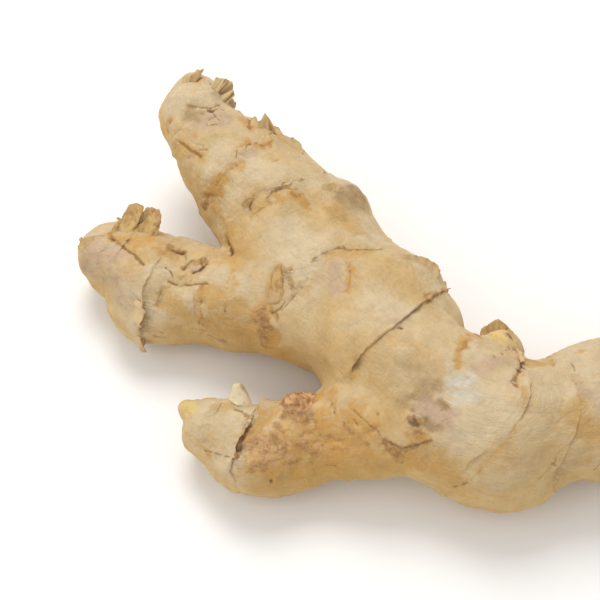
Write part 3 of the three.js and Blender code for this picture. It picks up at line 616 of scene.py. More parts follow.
class Limb:
    """A finger or shoot: its axis sampled closely, with the rules of its skin."""

    def __init__(self, shape, lips=()):
        axis = np.array(shape["axis"], float)
        self.centre, way = spline(axis[:, :3])
        self.size, _ = spline(axis[:, 3:])
        self.along = np.concatenate([[0], np.cumsum(np.linalg.norm(np.diff(self.centre, axis=0), axis=1))])
        self.length = self.along[-1]
        self.tangent = unit(way)
        self.side = unit(np.cross([0, 0, 1], self.tangent))
        self.lift = np.cross(self.tangent, self.side)
        self.rings = shape["rings"]
        self.lips = lips
        self.mounds = shape["mounds"]
        self.start_cap, self.end_cap = shape["caps"]
        self.blend = shape["blend"]
        self.lumps = shape["lumps"]
        self.seed = shape["seed"]
        self.wander = [ring_noise(17 * self.seed + index, 2.4, 4) for index in range(len(self.rings))]
        self.patchy = [ring_noise(29 * self.seed + index, 5.5, 3) for index in range(len(self.rings))]

    def at(self, along):
        """Centre, side, lift, half width and half height at places along the axis."""
        def mix(table):
            return np.stack([np.interp(along, self.along, table[:, k]) for k in range(table.shape[1])], -1)
        size = mix(self.size)
        return mix(self.centre), unit(mix(self.side)), unit(mix(self.lift)), size[..., 0], size[..., 1]

    def cap(self, along):
        """Share of its full size that the limb has there."""
        start = np.clip(along / self.start_cap, 0, 1)
        end = np.clip((self.length - along) / self.end_cap, 0, 1)
        return np.sqrt(1 - (1 - start) ** 2) * np.sqrt(1 - (1 - end) ** 2)

    def shift(self, place, angle):
        """How far a place of the skin's pattern lies from its true place on the axis."""
        total = np.zeros_like(place)
        moved = np.zeros_like(place)
        for index, (top, right, left, under, _) in enumerate(self.rings):
            middle = (top + right + left + under) / 4
            wander = self.lips[index][5] * np.interp(wrapped(angle), ROUND, self.wander[index])
            near = np.exp(-(((place - middle) / RING_REACH) ** 2))
            lean = (top - under) / 2 * np.cos(angle) + (left - right) / 2 * np.sin(angle)
            lean += (top + under - left - right) / 4 * np.cos(2 * angle)
            lean += 0.5 * np.sin(3 * angle + top) + 0.35 * np.sin(5 * angle + 2 * left)
            moved += near * (lean + wander)
            total += near
        return moved / np.maximum(1, total)

    def lip_strength(self, index, angle):
        """How strong a ring's lip is round the skin."""
        strongest, spread, high, low = self.lips[index][:4]
        turn = wrapped(angle - math.radians(strongest)) / math.radians(spread)
        patchy = 0.7 * np.interp(wrapped(angle), ROUND, self.patchy[index])
        level = low + (high - low) * np.exp(-turn ** 2)
        return np.clip(level * (1 + patchy) + 0.3 * patchy, 0, 1.6)

    def relief(self, place, angle):
        """Rise of the skin at its rings."""
        rise = np.zeros_like(place)
        for index, (top, right, left, under, lip) in enumerate(self.rings):
            behind = (place - (top + right + left + under) / 4) * np.sign(lip)
            height = abs(lip) * self.lip_strength(index, angle)
            slope = np.where((behind > -LIP_RISE) & (behind <= 0), (1 + behind / LIP_RISE) ** 3, 0)
            drop = np.clip(behind / LIP_DROP, 0, 1)
            step = np.where((behind > 0) & (behind < LIP_DROP), 1 - (1 + TROUGH_SHARE) * drop, 0)
            far = np.clip((behind - LIP_DROP) / LIP_TROUGH, 0, 1)
            trough = np.where(behind >= LIP_DROP, -TROUGH_SHARE * (1 - far) ** 2, 0)
            rise += height * (slope + step + trough)
        return rise

    def mound(self, along, angle):
        rise = np.zeros_like(along)
        for place, turn, height, reach, spread in self.mounds:
            far = wrapped(angle - math.radians(turn)) / math.radians(spread)
            rise += height * np.exp(-(((along - place) / reach) ** 2) - far ** 2)
        return rise

    def swelling(self, along, angle):
        lumps, seed = self.lumps, self.seed
        return (
            1
            + lumps * np.sin(2 * angle + along / 7 + 1.7 * seed)
            + lumps * 0.8 * np.sin(3 * angle - along / 5 + 2.9 * seed)
            + lumps * 0.5 * np.cos(angle + along / 3.1 + 4.1 * seed)
        )

    def skin(self, place, angle):
        """Points of the skin, and the way out there."""
        along = np.clip(place + self.shift(place, angle), 0, self.length)
        centre, side, lift, width, height = self.at(along)
        outward = side * (width * np.sin(angle))[..., None] + lift * (height * np.cos(angle))[..., None]
        radius = np.linalg.norm(outward, axis=-1) * self.swelling(along, angle)
        outward = unit(outward)
        reach = self.cap(along) * (radius + self.relief(place, angle) + self.mound(along, angle))
        return centre + outward * reach[..., None], outward

    def nearest(self, points):
        """For each point: how far outside the limb it is, the way out, and its place and angle."""
        index = np.empty(len(points), int)
        for start in range(0, len(points), 4000):
            part = points[start:start + 4000]
            gap = ((part[:, None, :] - self.centre[None, ::3, :]) ** 2).sum(-1)
            index[start:start + 4000] = gap.argmin(1) * 3
        index = np.minimum(index, len(self.along) - 1)
        step = ((points - self.centre[index]) * self.tangent[index]).sum(-1)
        along = np.clip(self.along[index] + step, 0, self.length)
        centre, side, lift, width, height = self.at(along)
        offset = points - centre
        angle = np.arctan2((offset * side).sum(-1) / width, (offset * lift).sum(-1) / height)
        radius = np.hypot(width * np.sin(angle), height * np.cos(angle))
        reach = (radius + self.mound(along, angle)) * self.cap(along)
        return np.linalg.norm(offset, axis=-1) - reach, unit(offset), along, angle, radius

    def pattern_place(self, along, angle):
        """The place of the skin's own pattern at a true place."""
        place = along.copy()
        for _ in range(6):
            place = along - self.shift(place, angle)
        return place

    def rows(self, gap):
        """Places of the cross sections, close together at the lips and the rounded ends."""
        fine = []
        for top, right, left, under, lip in self.rings:
            middle = (top + right + left + under) / 4
            for behind in LIP_ROWS:
                fine.append(middle + behind * math.copysign(1, lip))
        for turn in np.linspace(0.12, 1, 9):
            share = 1 - math.cos(turn * math.pi / 2)
            fine += [self.start_cap * share, self.length - self.end_cap * share]
        fine = [place for place in sorted(fine) if 0.01 < place < self.length - 0.01]
        rows = list(fine)
        for place in np.arange(gap, self.length - gap / 2, gap):
            if min(abs(place - other) for other in fine) > gap * 0.45:
                rows.append(place)
        return np.array(sorted(rows))

    def closed_mesh(self, gap):
        """Vertices and faces of the limb's closed skin."""
        rows = self.rows(gap)
        around = max(28, int(2 * math.pi * self.size[:, 0].max() / gap / 1.05))
        angles = np.arange(around) / around * 2 * math.pi
        place, angle = np.meshgrid(rows, angles, indexing="ij")
        points, _ = self.skin(place, angle)
        points = np.vstack([self.centre[:1], points.reshape(-1, 3), self.centre[-1:]])
        row = 1 + np.arange(len(rows) - 1)[:, None] * around
        here, there = np.arange(around)[None, :], (np.arange(around) + 1)[None, :] % around
        quads = np.stack([row + here, row + around + here, row + around + there, row + there], -1)
        quads = quads.reshape(-1, 4)
        last = len(points) - 1
        end = 1 + (len(rows) - 1) * around
        caps = [(0, 1 + i, 1 + (i + 1) % around) for i in range(around)]
        caps += [(last, end + (i + 1) % around, end + i) for i in range(around)]
        return points, quads.tolist() + caps


LIMBS = {
    "stem": Limb(STEM, STEM_LIPS),
    "left": Limb(LEFT_FINGER, LEFT_LIPS),
    "lower": Limb(LOWER_FINGER, LOWER_LIPS),
    "bud": Limb(FRILLED_BUD),
    "pale": Limb(PALE_BUD),
    "end": Limb(END_BUD),
    "scar": Limb(ROOT_SCAR),
}


def rough(points, size, octaves, seed):
    """Fractal noise about 0 at points in millimetres, with features of a size."""
    offset = Vector((seed * 17.3, seed * 5.1, seed * 9.7))
    return np.array([
        noise.fractal(Vector(point) / size + offset, 0.9, 2.1, octaves, noise_basis="PERLIN_ORIGINAL")
        for point in points
    ])


def mesh_object(name, points, faces):
    """A new object from points in millimetres."""
    mesh = bpy.data.meshes.new(name)
    mesh.from_pydata((np.asarray(points) / 1000).tolist(), [], faces)
    mesh.update()
    piece = bpy.data.objects.new(name, mesh)
    bpy.context.scene.collection.objects.link(piece)
    return piece


def baked(piece):
    """Replaces a piece's mesh by what its modifiers make of it, and removes them."""
    depsgraph = bpy.context.evaluated_depsgraph_get()
    mesh = bpy.data.meshes.new_from_object(piece.evaluated_get(depsgraph))
    piece.modifiers.clear()
    piece.data = mesh
    return piece


def smooth_faces(mesh):
    mesh.polygons.foreach_set("use_smooth", np.ones(len(mesh.polygons), bool))
    mesh.update()


def mesh_points(mesh):
    flat = np.empty(len(mesh.vertices) * 3)
    mesh.vertices.foreach_get("co", flat)
    return flat.reshape(-1, 3) * 1000


def set_points(mesh, points):
    mesh.vertices.foreach_set("co", (points / 1000).ravel())
    mesh.update()


def mesh_normals(mesh):
    flat = np.empty(len(mesh.vertices) * 3)
    mesh.vertices.foreach_get("normal", flat)
    return flat.reshape(-1, 3)


def set_attribute(mesh, name, values):
    values = np.asarray(values, float)
    kind = "FLOAT" if values.ndim == 1 else "FLOAT_VECTOR"
    attribute = mesh.attributes.new(name, kind, "POINT")
    attribute.data.foreach_set("value" if kind == "FLOAT" else "vector", values.ravel())


def held_in_box(points):
    """Points kept inside the solid model's box."""
    low = np.array(cad_bounds[0]) * 1000
    high = np.array(cad_bounds[1]) * 1000
    return np.clip(points, low, high)


def grown_together(gap):
    """One closed object of all the limbs, softened where they meet."""
    whole = None
    for name, limb in LIMBS.items():
        part = mesh_object("limb_" + name, *limb.closed_mesh(gap))
        if whole is None:
            whole = part
            continue
        join = whole.modifiers.new("join", "BOOLEAN")
        join.operation = "UNION"
        join.solver = "MANIFOLD"
        join.object = part
        baked(whole)
        bpy.data.objects.remove(part)
    mesh = whole.data
    welded = bmesh.new()
    welded.from_mesh(mesh)
    bmesh.ops.remove_doubles(welded, verts=welded.verts, dist=0.00022)
    welded.to_mesh(mesh)
    welded.free()
    points = mesh_points(mesh)
    found = [limb.nearest(points) for limb in LIMBS.values()]
    gaps = np.stack([one[0] for one in found])
    ways = np.stack([one[1] for one in found])
    blends = np.array([limb.blend for limb in LIMBS.values()], float)
    order = np.argsort(gaps, axis=0)
    every = np.arange(len(points))
    first, second = order[0], order[1]
    reach = np.minimum(blends[first], blends[second])
    near = np.clip(1 - (gaps[second, every] - gaps[first, every]) / reach, 0, 1)
    lean = (0.5 * near)[:, None]
    away = ways[first, every] * (1 - lean) + ways[second, every] * lean
    points += away * (reach * near ** 2 / 4 / np.maximum(0.5, (away ** 2).sum(-1)))[:, None]
    broad = np.where(reach > 4, np.clip((near - 0.15) / 0.35, 0, 1), 0.25 * near)
    set_points(mesh, smoothed(mesh, points, broad, 45))
    return whole


def smoothed(mesh, points, weight, rounds):
    """Points drawn towards the middle of their neighbours, each by its own weight."""
    edges = np.empty(len(mesh.edges) * 2, int)
    mesh.edges.foreach_get("vertices", edges)
    ends = np.concatenate([edges[::2], edges[1::2]])
    others = np.concatenate([edges[1::2], edges[::2]])
    count = np.bincount(ends, minlength=len(points))
    share = (0.5 * weight)[:, None]
    for _ in range(rounds):
        middle = np.stack([np.bincount(ends, points[others, axis], len(points)) for axis in range(3)], -1)
        points = points + (middle / count[:, None] - points) * share
    return points


class Photo:
    """The photo's view of a mesh, which turns pixels into places, in millimetres."""
    ahead = np.array([0, math.cos(CAMERA_SLANT), -math.sin(CAMERA_SLANT)])
    up = np.array([0, math.sin(CAMERA_SLANT), math.cos(CAMERA_SLANT)])
    start = np.array(CAMERA_TARGET) - ahead * CAMERA_DISTANCE

    def __init__(self, mesh):
        faces = [tuple(face.vertices) for face in mesh.polygons]
        self.skin = BVHTree.FromPolygons(mesh_points(mesh).tolist(), faces)

    def at_depth(self, pixel, depth):
        """The place that a pixel shows if it lies at a depth from the camera."""
        slope = FRAME_WIDTH / CAMERA_LENS / PHOTO_PIXELS
        across, down = (np.asarray(pixel, float) - PHOTO_PIXELS / 2) * slope
        return self.start + (self.ahead + np.array([across, 0, 0]) - self.up * down) * depth

    def depth(self, point):
        return (point - self.start) @ self.ahead

    def on_skin(self, pixel):
        """The skin that a pixel shows, or the skin nearest to its line of sight if that misses."""
        way = Vector(self.at_depth(pixel, 1) - self.start).normalized()
        spot = self.skin.ray_cast(Vector(self.start), way)[0]
        depth = CAMERA_DISTANCE
        for _ in range(4):
            if spot is not None:
                break
            nearest = self.skin.find_nearest(Vector(self.at_depth(pixel, depth)))[0]
            depth = self.depth(np.array(nearest))
        return np.array(nearest if spot is None else spot)


def placed_marks(mesh):
    """Every mark with the line of places on the skin that it runs through."""
    photo = Photo(mesh)
    marks = [
        (kind, [photo.on_skin(pixel) for pixel in pixels], reach, strength)
        for kind, pixels, reach, strength in MARKS
    ]
    for kind, name, place, angle, reach, strength in UNSEEN_MARKS:
        spot = LIMBS[name].skin(np.array([float(place)]), np.array([math.radians(angle)]))[0][0]
        marks.append((kind, [spot, spot], reach, strength))
    return marks


def mark_gap(points, corners):
    """How far points lie from the line through a mark's corners."""
    gap = np.full(len(points), 1e6)
    for start, end in zip(corners, corners[1:]):
        line = end - start
        here = points - start
        share = np.clip((here @ line) / max(line @ line, 1e-9), 0, 1)
        gap = np.minimum(gap, np.linalg.norm(here - share[:, None] * line, axis=1))
    return gap


def refined(mesh, marks):
    """Divides the mesh more finely along the crisp marks, and once more along the thin ones."""
    for kinds, room in FINER_ROUNDS:
        points = mesh_points(mesh)
        close = np.zeros(len(points), bool)
        for kind, corners, reach, _ in marks:
            if kind in kinds:
                close |= mark_gap(points, corners) < reach + room
        finer = bmesh.new()
        finer.from_mesh(mesh)
        edges = [edge for edge in finer.edges if close[edge.verts[0].index] and close[edge.verts[1].index]]
        bmesh.ops.subdivide_edges(finer, edges=edges, cuts=1, use_grid_fill=True)
        bmesh.ops.triangulate(finer, faces=[face for face in finer.faces if len(face.verts) > 4])
        finer.to_mesh(mesh)
        finer.free()


def mark_strengths(points, marks):
    """How strongly each kind of mark colours each point."""
    strengths = {kind: np.zeros(len(points)) for kind in MARK_KINDS}
    stray = np.stack([rough(points, 3.2, 3, seed) for seed in (31, 32, 33)], -1)
    for kind, corners, reach, strength in marks:
        far = mark_gap(points + stray * min(2.6, 0.9 * reach), corners) / reach
        strengths[kind] = np.maximum(strengths[kind], strength * np.exp(-(far ** 2) * 0.8))
    return strengths


def ring_attributes(limb, along, angle):
    """The pattern's place, the distances behind and before the nearest lip, its strength and the darkness of
    its crack and painted shadow.
    """
    place = limb.pattern_place(along, angle)
    behind = np.full(len(place), NO_LIP)
    before = np.full(len(place), NO_LIP)
    strength = np.zeros(len(place))
    crack_shadow = np.zeros(len(place))
    for index, (top, right, left, under, lip) in enumerate(limb.rings):
        gap = (place - (top + right + left + under) / 4) * math.copysign(1, lip)
        behind = np.where(gap >= 0.04, np.minimum(behind, gap), behind)
        before = np.where(gap < 0.04, np.minimum(before, 0.04 - gap), before)
        strength = np.where(np.abs(gap) < LIP_REACH, limb.lip_strength(index, angle), strength)
        crack_shadow = np.where(np.abs(gap) < LIP_REACH, limb.lips[index][4], crack_shadow)
    return place, behind, before, strength, crack_shadow


def nearest_limb(points):
    """Each point's limb, its place, angle and radius on it, and how clear it is of where two limbs meet."""
    found = [limb.nearest(points) for limb in LIMBS.values()]
    gaps = np.stack([one[0] for one in found])
    owner = gaps.argmin(axis=0)
    first, second = np.sort(gaps, axis=0)[:2]
    every = np.arange(len(points))
    along, angle, radius = (np.stack([one[column] for one in found])[owner, every] for column in (2, 3, 4))
    return owner, along, angle, radius, np.clip((second - first - JOIN_EDGE) / JOIN_FADE, 0, 1)


def ring_fields(owner, along, angle):
    """Every limb's ring attributes, each at the points that are nearest to that limb."""
    place = along.copy()
    behind, before = np.full(len(place), NO_LIP), np.full(len(place), NO_LIP)
    strength, crack_shadow = np.zeros(len(place)), np.zeros(len(place))
    for index, limb in enumerate(LIMBS.values()):
        mine = owner == index
        place[mine], behind[mine], before[mine], strength[mine], crack_shadow[mine] = ring_attributes(
            limb, along[mine], angle[mine])
    return place, behind, before, strength, crack_shadow


def skin_folds(points, grain, unjoined, small, scar):
    """Rise of the skin's folds and wrinkles, as a share of their depth."""
    broad = rough(points, 13.0, 2, 3)
    folds = 0.2 - np.abs(rough(points, 5.5, 3, 4))
    ridges = unjoined * rough(grain * np.array([0.25, 1, 1]), 2.8, 3, 5)
    crumple = rough(points, 2.4, 2, 6)
    relief = np.where(small, 0.25, 1.0) * (1.3 * broad + 0.6 * folds + 0.14 * ridges + 0.16 * crumple)
    return relief + scar * 0.9 * rough(points, 1.3, 3, 9)


class GINGER_OT_skin(bpy.types.Operator):
    """Grows the whole skin of the root as one closed mesh, with its rings, wrinkles and marks"""
    bl_idname = "ginger.skin"
    bl_label = "Skin"

    def execute(self, context):
        settings = context.scene.ginger_skin
        root = grown_together(settings.point_gap * 1000)
        root.name = "ginger_skin"
        mesh = root.data
        placed = placed_marks(mesh)
        refined(mesh, placed)
        points = mesh_points(mesh)
        owner, along, angle, radius, unjoined = nearest_limb(points)
        place, behind, before, strength, crack_shadow = ring_fields(owner, along, angle)
        grain = np.stack([place, radius * np.sin(angle), radius * np.cos(angle)], -1)
        names = list(LIMBS)
        small = np.isin(owner, [names.index(name) for name in SMALL_LIMBS])
        scar = owner == names.index("scar")
        normals = mesh_normals(mesh)
        marks = mark_strengths(points, placed)
        sunk = 0.4 * marks["burn"] + 0.25 * marks["shade"] + 0.25 * marks["line"]
        scabby = 0.35 * np.maximum(marks["cork"], marks["rust"]) * rough(points, 1.5, 3, 12)
        folds = settings.wrinkle_depth * 1000 * skin_folds(points, grain, unjoined, small, scar)
        points = held_in_box(points + normals * (folds + scabby - sunk)[:, None])
        points[:, 2] = np.where(points[:, 2] < FLAT_HEIGHT, 0, points[:, 2])
        set_points(mesh, points)
        # The side attribute is how far the skin turns away from above; the material paints the sides' shade
        # by it
        fields = {
            **marks, "grain": grain, "behind_lip": behind, "before_lip": before, "lip_strength": strength,
            "crack_shadow": crack_shadow, "side": 1 - normals[:, 2], "unjoined": unjoined,
            "ivory": owner == names.index("pale"), "scar": scar,
        }
        for name, values in fields.items():
            set_attribute(mesh, name, values)
        mesh.materials.clear()
        mesh.materials.append(skin_material(settings))
        smooth_faces(mesh)
        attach(root, "root")
        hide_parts("ginger_root")
        return {"FINISHED"}


def sheet(columns, rows, edge_shares):
    """A sheet over its columns of points, with its root sunk in the skin: points and faces."""
    points = []
    for foot, edge, bow in columns:
        start = foot + unit(foot - edge) * BLADE_ROOT
        for row in range(rows):
            share = row / (rows - 1)
            points.append(start + (edge - start) * share + bow * 4 * share * (1 - share))
            edge_shares.append(share)
    return points, sheet_faces(len(columns), rows)


def sheet_faces(columns, rows):
    faces = []
    for column in range(columns - 1):
        for row in range(rows - 1):
            a = column * rows + row
            faces.append((a, a + rows, a + rows + 1, a + 1))
    return faces


def scale_columns(limb, place, angle, spread, length, rise, toward, draw):
    """Columns of a dry scale that follows the skin: foot, edge and bow."""
    columns = []
    for share in np.linspace(0, 1, 24):
        turn = np.array([math.radians(angle + (share - 0.5) * spread)])
        foot, outward = (one[0] for one in limb.skin(np.array([float(place)]), turn))
        ahead = unit(limb.skin(np.array([place + toward * 2.0]), turn)[0][0] - foot)
        reach = length * math.sin(math.pi * (0.08 + 0.84 * share)) * (0.7 + 0.3 * draw.random())
        way = ahead * math.cos(math.radians(rise)) + outward * math.sin(math.radians(rise))
        columns.append((foot - outward * 0.15, foot + way * reach, outward * 0.12 * length))
    return columns


def along_line(corners, shares):
    """Points at shares of the length of the line through the corners."""
    corners = np.array(corners, float)
    lengths = np.concatenate([[0], np.cumsum(np.linalg.norm(np.diff(corners, axis=0), axis=1))])
    return np.stack([np.interp(shares * lengths[-1], lengths, column) for column in corners.T], -1)


def flap_columns(flap, photo, draw):
    """Columns of a torn flap: foot, edge and bow."""
    shares = np.linspace(0, 1, 44)
    feet = np.array([photo.on_skin(pixel) for pixel in along_line(flap["foot"], shares)])
    edge_pixels = along_line(flap["edge"], shares)
    if flap["lift"] is None:
        edges = np.array([photo.at_depth(pixel, photo.depth(foot)) for pixel, foot in zip(edge_pixels, feet)])
    else:
        edges = np.array([photo.on_skin(pixel) for pixel in edge_pixels]) - photo.ahead * flap["lift"]
    face = unit(np.cross(feet[-1] - feet[0], edges.mean(0) - feet.mean(0)))
    torn = np.interp(shares, np.linspace(0, 1, 17), draw.random(17)) * 1.4 * flap["tear"]
    edges += (feet - edges) * torn[:, None]
    round_out = 4 * shares * (1 - shares) * flap["bow"]
    return [(foot, edge + face * bow, face * 0.45 * bow) for foot, edge, bow in zip(feet, edges, round_out)]


def torn_ring(limb, index, first, last, reach, rise, seed, edge_shares):
    """A thin torn edge that lies over a ring's lip: points and faces."""
    top, right, left, under, lip = limb.rings[index]
    middle = (top + right + left + under) / 4
    toward = math.copysign(1, lip)
    size = limb.at(np.array([middle]))[3][0]
    count = max(8, int(math.radians(last - first) * size / 0.42))
    angle = np.radians(np.linspace(first, last, count))
    ends = np.clip(np.minimum(np.arange(count), np.arange(count)[::-1]) / 4, 0, 1)
    low = np.interp(wrapped(angle), ROUND, ring_noise(seed, 5.0, 2))
    fine = np.interp(wrapped(angle), ROUND, ring_noise(seed + 0.5, 1.3, 3))
    ragged = np.clip(0.4 + 1.5 * low + 1.1 * fine, 0, 1.5) * ends * reach
    wave = np.interp(wrapped(angle), ROUND, ring_noise(seed + 0.25, 3.0, 2))
    raised = np.clip(0.5 + 2.0 * wave, 0, 1.6) * rise
    crest, outward = limb.skin(np.full(count, middle - 0.12 * toward), angle)
    root = limb.skin(np.full(count, middle - 1.6 * toward), angle)[0]
    ahead = unit(limb.skin(np.full(count, middle + 3.0 * toward), angle)[0] - crest)
    rows = [root - outward * 0.35, crest + (root - crest) * 0.45 - outward * 0.06]
    edge_shares_of_rows = [0.0, 0.0]
    for share in (0.0, 0.25, 0.5, 0.75, 1.0):
        lifted = outward * (0.07 + raised * share ** 1.6)[:, None]
        rows.append(crest + ahead * (ragged * share)[:, None] + lifted)
        edge_shares_of_rows.append(share)
    edge_shares += edge_shares_of_rows * count
    points = np.stack(rows, 1).reshape(-1, 3)
    return list(points), sheet_faces(count, len(rows))


class GINGER_OT_scales(bpy.types.Operator):
    """Lays torn skin over the rings and roots the dry scales and flaps in the skin"""
    bl_idname = "ginger.scales"
    bl_label = "Torn skin and scales"

    def execute(self, context):
        skin = bpy.data.objects.get("ginger_skin")
        if skin is None:
            raise RuntimeError("Grow the skin before its scales")
        photo = Photo(skin.data)
        draw = np.random.default_rng(11)
        points, faces, edge, dry = [], [], [], []

        def add(more, cells, dryness):
            start = len(points)
            points.extend(more)
            faces.extend(tuple(start + corner for corner in cell) for cell in cells)
            dry.extend([dryness] * len(more))

        for index, (name, ring, first, last, reach, rise) in enumerate(TORN_RINGS):
            add(*torn_ring(LIMBS[name], ring, first, last, reach, rise, 60 + index, edge), 0.12)
        for name, *values, dryness in SCALES:
            add(*sheet(scale_columns(LIMBS[name], *values, draw), 9, edge), dryness)
        for flap in FLAPS:
            add(*sheet(flap_columns(flap, photo, draw), 11, edge), flap["dry"])
        points = np.array(points)
        loose = np.array(edge)[:, None]
        points += np.stack([rough(points, 1.5, 2, seed) for seed in (21, 22, 23)], -1) * (0.05 + 0.22 * loose)
        piece = mesh_object("torn_skin", held_in_box(points), faces)
        set_attribute(piece.data, "edge", edge)
        set_attribute(piece.data, "dry", dry)
        thick = piece.modifiers.new("thickness", "SOLIDIFY")
        thick.thickness = 0.0002
        thick.offset = 0
        baked(piece)
        set_points(piece.data, held_in_box(mesh_points(piece.data)))
        piece.data.materials.clear()
        piece.data.materials.append(torn_material("torn_skin", context.scene.ginger_skin))
        smooth_faces(piece.data)
        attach(piece, "root")
        return {"FINISHED"}


def ring_points(spacing, draw):
    """Places for the flakes along the lips: points, ways out, ways ahead and sizes."""
    spots = []
    for name in ("stem", "left", "lower"):
        limb = LIMBS[name]
        for index, (top, right, left, under, lip) in enumerate(limb.rings):
            middle = (top + right + left + under) / 4
            toward = math.copysign(1, lip)
            turn = -math.pi
            while turn < math.pi:
                angle = np.array([turn + 0.3 * draw.random()])
                force = limb.lip_strength(index, angle)[0]
                size = limb.at(np.array([middle]))[3][0]
                turn += spacing / size * (0.5 + draw.random())
                if draw.random() > 0.8 * force - 0.15:
                    continue
                point, outward = (one[0] for one in limb.skin(np.array([middle - 0.2 * toward]), angle))
                ahead = unit(limb.skin(np.array([middle + toward * 3.0]), angle)[0][0] - point)
                spots.append((point, outward, ahead, min(1.1, force) * (0.4 + 0.7 * draw.random())))
    places = np.array([one[0] for one in spots])
    gaps = np.stack([limb.nearest(places)[0] for limb in LIMBS.values()])
    gaps.sort(axis=0)
    return [spot for spot, second in zip(spots, gaps[1]) if second > 1.5 and spot[0][2] > 2.5]


def flake_tree():
    """Geometry Nodes that set a curled, torn flake on every point, along its own directions."""
    tree = bpy.data.node_groups.new("ring_flakes", "GeometryNodeTree")
    sockets = tree.interface
    sockets.new_socket("Geometry", in_out="INPUT", socket_type="NodeSocketGeometry")
    sockets.new_socket("Length", in_out="INPUT", socket_type="NodeSocketFloat")
    sockets.new_socket("Seed", in_out="INPUT", socket_type="NodeSocketInt")
    sockets.new_socket("Material", in_out="INPUT", socket_type="NodeSocketMaterial")
    sockets.new_socket("Geometry", in_out="OUTPUT", socket_type="NodeSocketGeometry")

    def add(kind, **settings):
        node = tree.nodes.new(kind)
        for key, value in settings.items():
            setattr(node, key, value)
        return node

    def link(source, target):
        tree.links.new(source, target)

    def named(name, kind):
        node = add("GeometryNodeInputNamedAttribute", data_type=kind)
        node.inputs["Name"].default_value = name
        return node.outputs["Attribute"]

    def math_node(operation, first, second):
        node = add("ShaderNodeMath", operation=operation)
        for socket, value in zip(node.inputs, (first, second)):
            if isinstance(value, (int, float)):
                socket.default_value = value
            else:
                link(value, socket)
        return node.outputs[0]

    enter, leave = add("NodeGroupInput"), add("NodeGroupOutput")
    sheet = add("GeometryNodeMeshGrid")
    sheet.inputs["Size X"].default_value = 1.5
    sheet.inputs["Size Y"].default_value = 1.0
    sheet.inputs["Vertices X"].default_value = 7
    sheet.inputs["Vertices Y"].default_value = 5
    place = add("GeometryNodeInputPosition")
    split = add("ShaderNodeSeparateXYZ")
    link(place.outputs[0], split.inputs[0])
    run = math_node("ADD", split.outputs["Y"], 0.5)
    torn = add("ShaderNodeTexNoise", noise_dimensions="3D")
    torn.inputs["Scale"].default_value = 3.4
    link(place.outputs[0], torn.inputs["Vector"])
    side = math_node("MULTIPLY", split.outputs["X"], split.outputs["X"])
    taper = math_node("SUBTRACT", 1.0, math_node("MULTIPLY", side, 1.1))
    ragged = math_node("MULTIPLY", math_node("ADD", torn.outputs[0], 0.3), taper)
    reach = math_node("SUBTRACT", math_node("MULTIPLY", run, ragged), 0.18)
    curl = math_node("MULTIPLY", math_node("MULTIPLY", run, run), 0.42)
    bowl = math_node("SUBTRACT", curl, math_node("MULTIPLY", side, 0.35))
    bent = add("ShaderNodeCombineXYZ")
    link(split.outputs["X"], bent.inputs["X"])
    link(reach, bent.inputs["Y"])
    link(bowl, bent.inputs["Z"])
    shaped = add("GeometryNodeSetPosition")
    link(sheet.outputs["Mesh"], shaped.inputs["Geometry"])
    link(bent.outputs[0], shaped.inputs["Position"])
    worn = add("GeometryNodeStoreNamedAttribute", data_type="FLOAT", domain="POINT")
    worn.inputs["Name"].default_value = "edge"
    link(shaped.outputs[0], worn.inputs["Geometry"])
    link(run, worn.inputs["Value"])
    kept = add("GeometryNodeStoreNamedAttribute", data_type="FLOAT", domain="POINT")
    kept.inputs["Name"].default_value = "dry"
    kept.inputs["Value"].default_value = 0.45
    link(worn.outputs[0], kept.inputs["Geometry"])
    upright = add("FunctionNodeAlignRotationToVector", axis="Z")
    link(named("outward", "FLOAT_VECTOR"), upright.inputs["Vector"])
    facing = add("FunctionNodeAlignRotationToVector", axis="Y", pivot_axis="Z")
    link(upright.outputs[0], facing.inputs["Rotation"])
    link(named("ahead", "FLOAT_VECTOR"), facing.inputs["Vector"])
    sway = add("FunctionNodeRandomValue", data_type="FLOAT_VECTOR")
    sway.inputs["Min"].default_value = (0.0, -0.25, -0.5)
    sway.inputs["Max"].default_value = (0.55, 0.25, 0.5)
    link(enter.outputs["Seed"], sway.inputs["Seed"])
    turn = add("FunctionNodeEulerToRotation")
    link(sway.outputs[0], turn.inputs[0])
    swayed = add("FunctionNodeRotateRotation", rotation_space="LOCAL")
    link(facing.outputs[0], swayed.inputs["Rotation"])
    link(turn.outputs[0], swayed.inputs["Rotate By"])
    spread = add("FunctionNodeRandomValue", data_type="FLOAT_VECTOR")
    spread.inputs["Min"].default_value = (0.7, 0.6, 0.7)
    spread.inputs["Max"].default_value = (1.8, 1.3, 1.2)
    link(math_node("ADD", enter.outputs["Seed"], 3), spread.inputs["Seed"])
    size = add("ShaderNodeVectorMath", operation="SCALE")
    link(spread.outputs[0], size.inputs[0])
    link(math_node("MULTIPLY", enter.outputs["Length"], named("size", "FLOAT")), size.inputs["Scale"])
    spots = add("GeometryNodeInstanceOnPoints")
    link(enter.outputs["Geometry"], spots.inputs["Points"])
    link(kept.outputs[0], spots.inputs["Instance"])
    link(swayed.outputs[0], spots.inputs["Rotation"])
    link(size.outputs[0], spots.inputs["Scale"])
    real = add("GeometryNodeRealizeInstances")
    link(spots.outputs[0], real.inputs[0])
    painted = add("GeometryNodeSetMaterial")
    link(real.outputs[0], painted.inputs["Geometry"])
    link(enter.outputs["Material"], painted.inputs["Material"])
    link(painted.outputs[0], leave.inputs[0])
    return tree


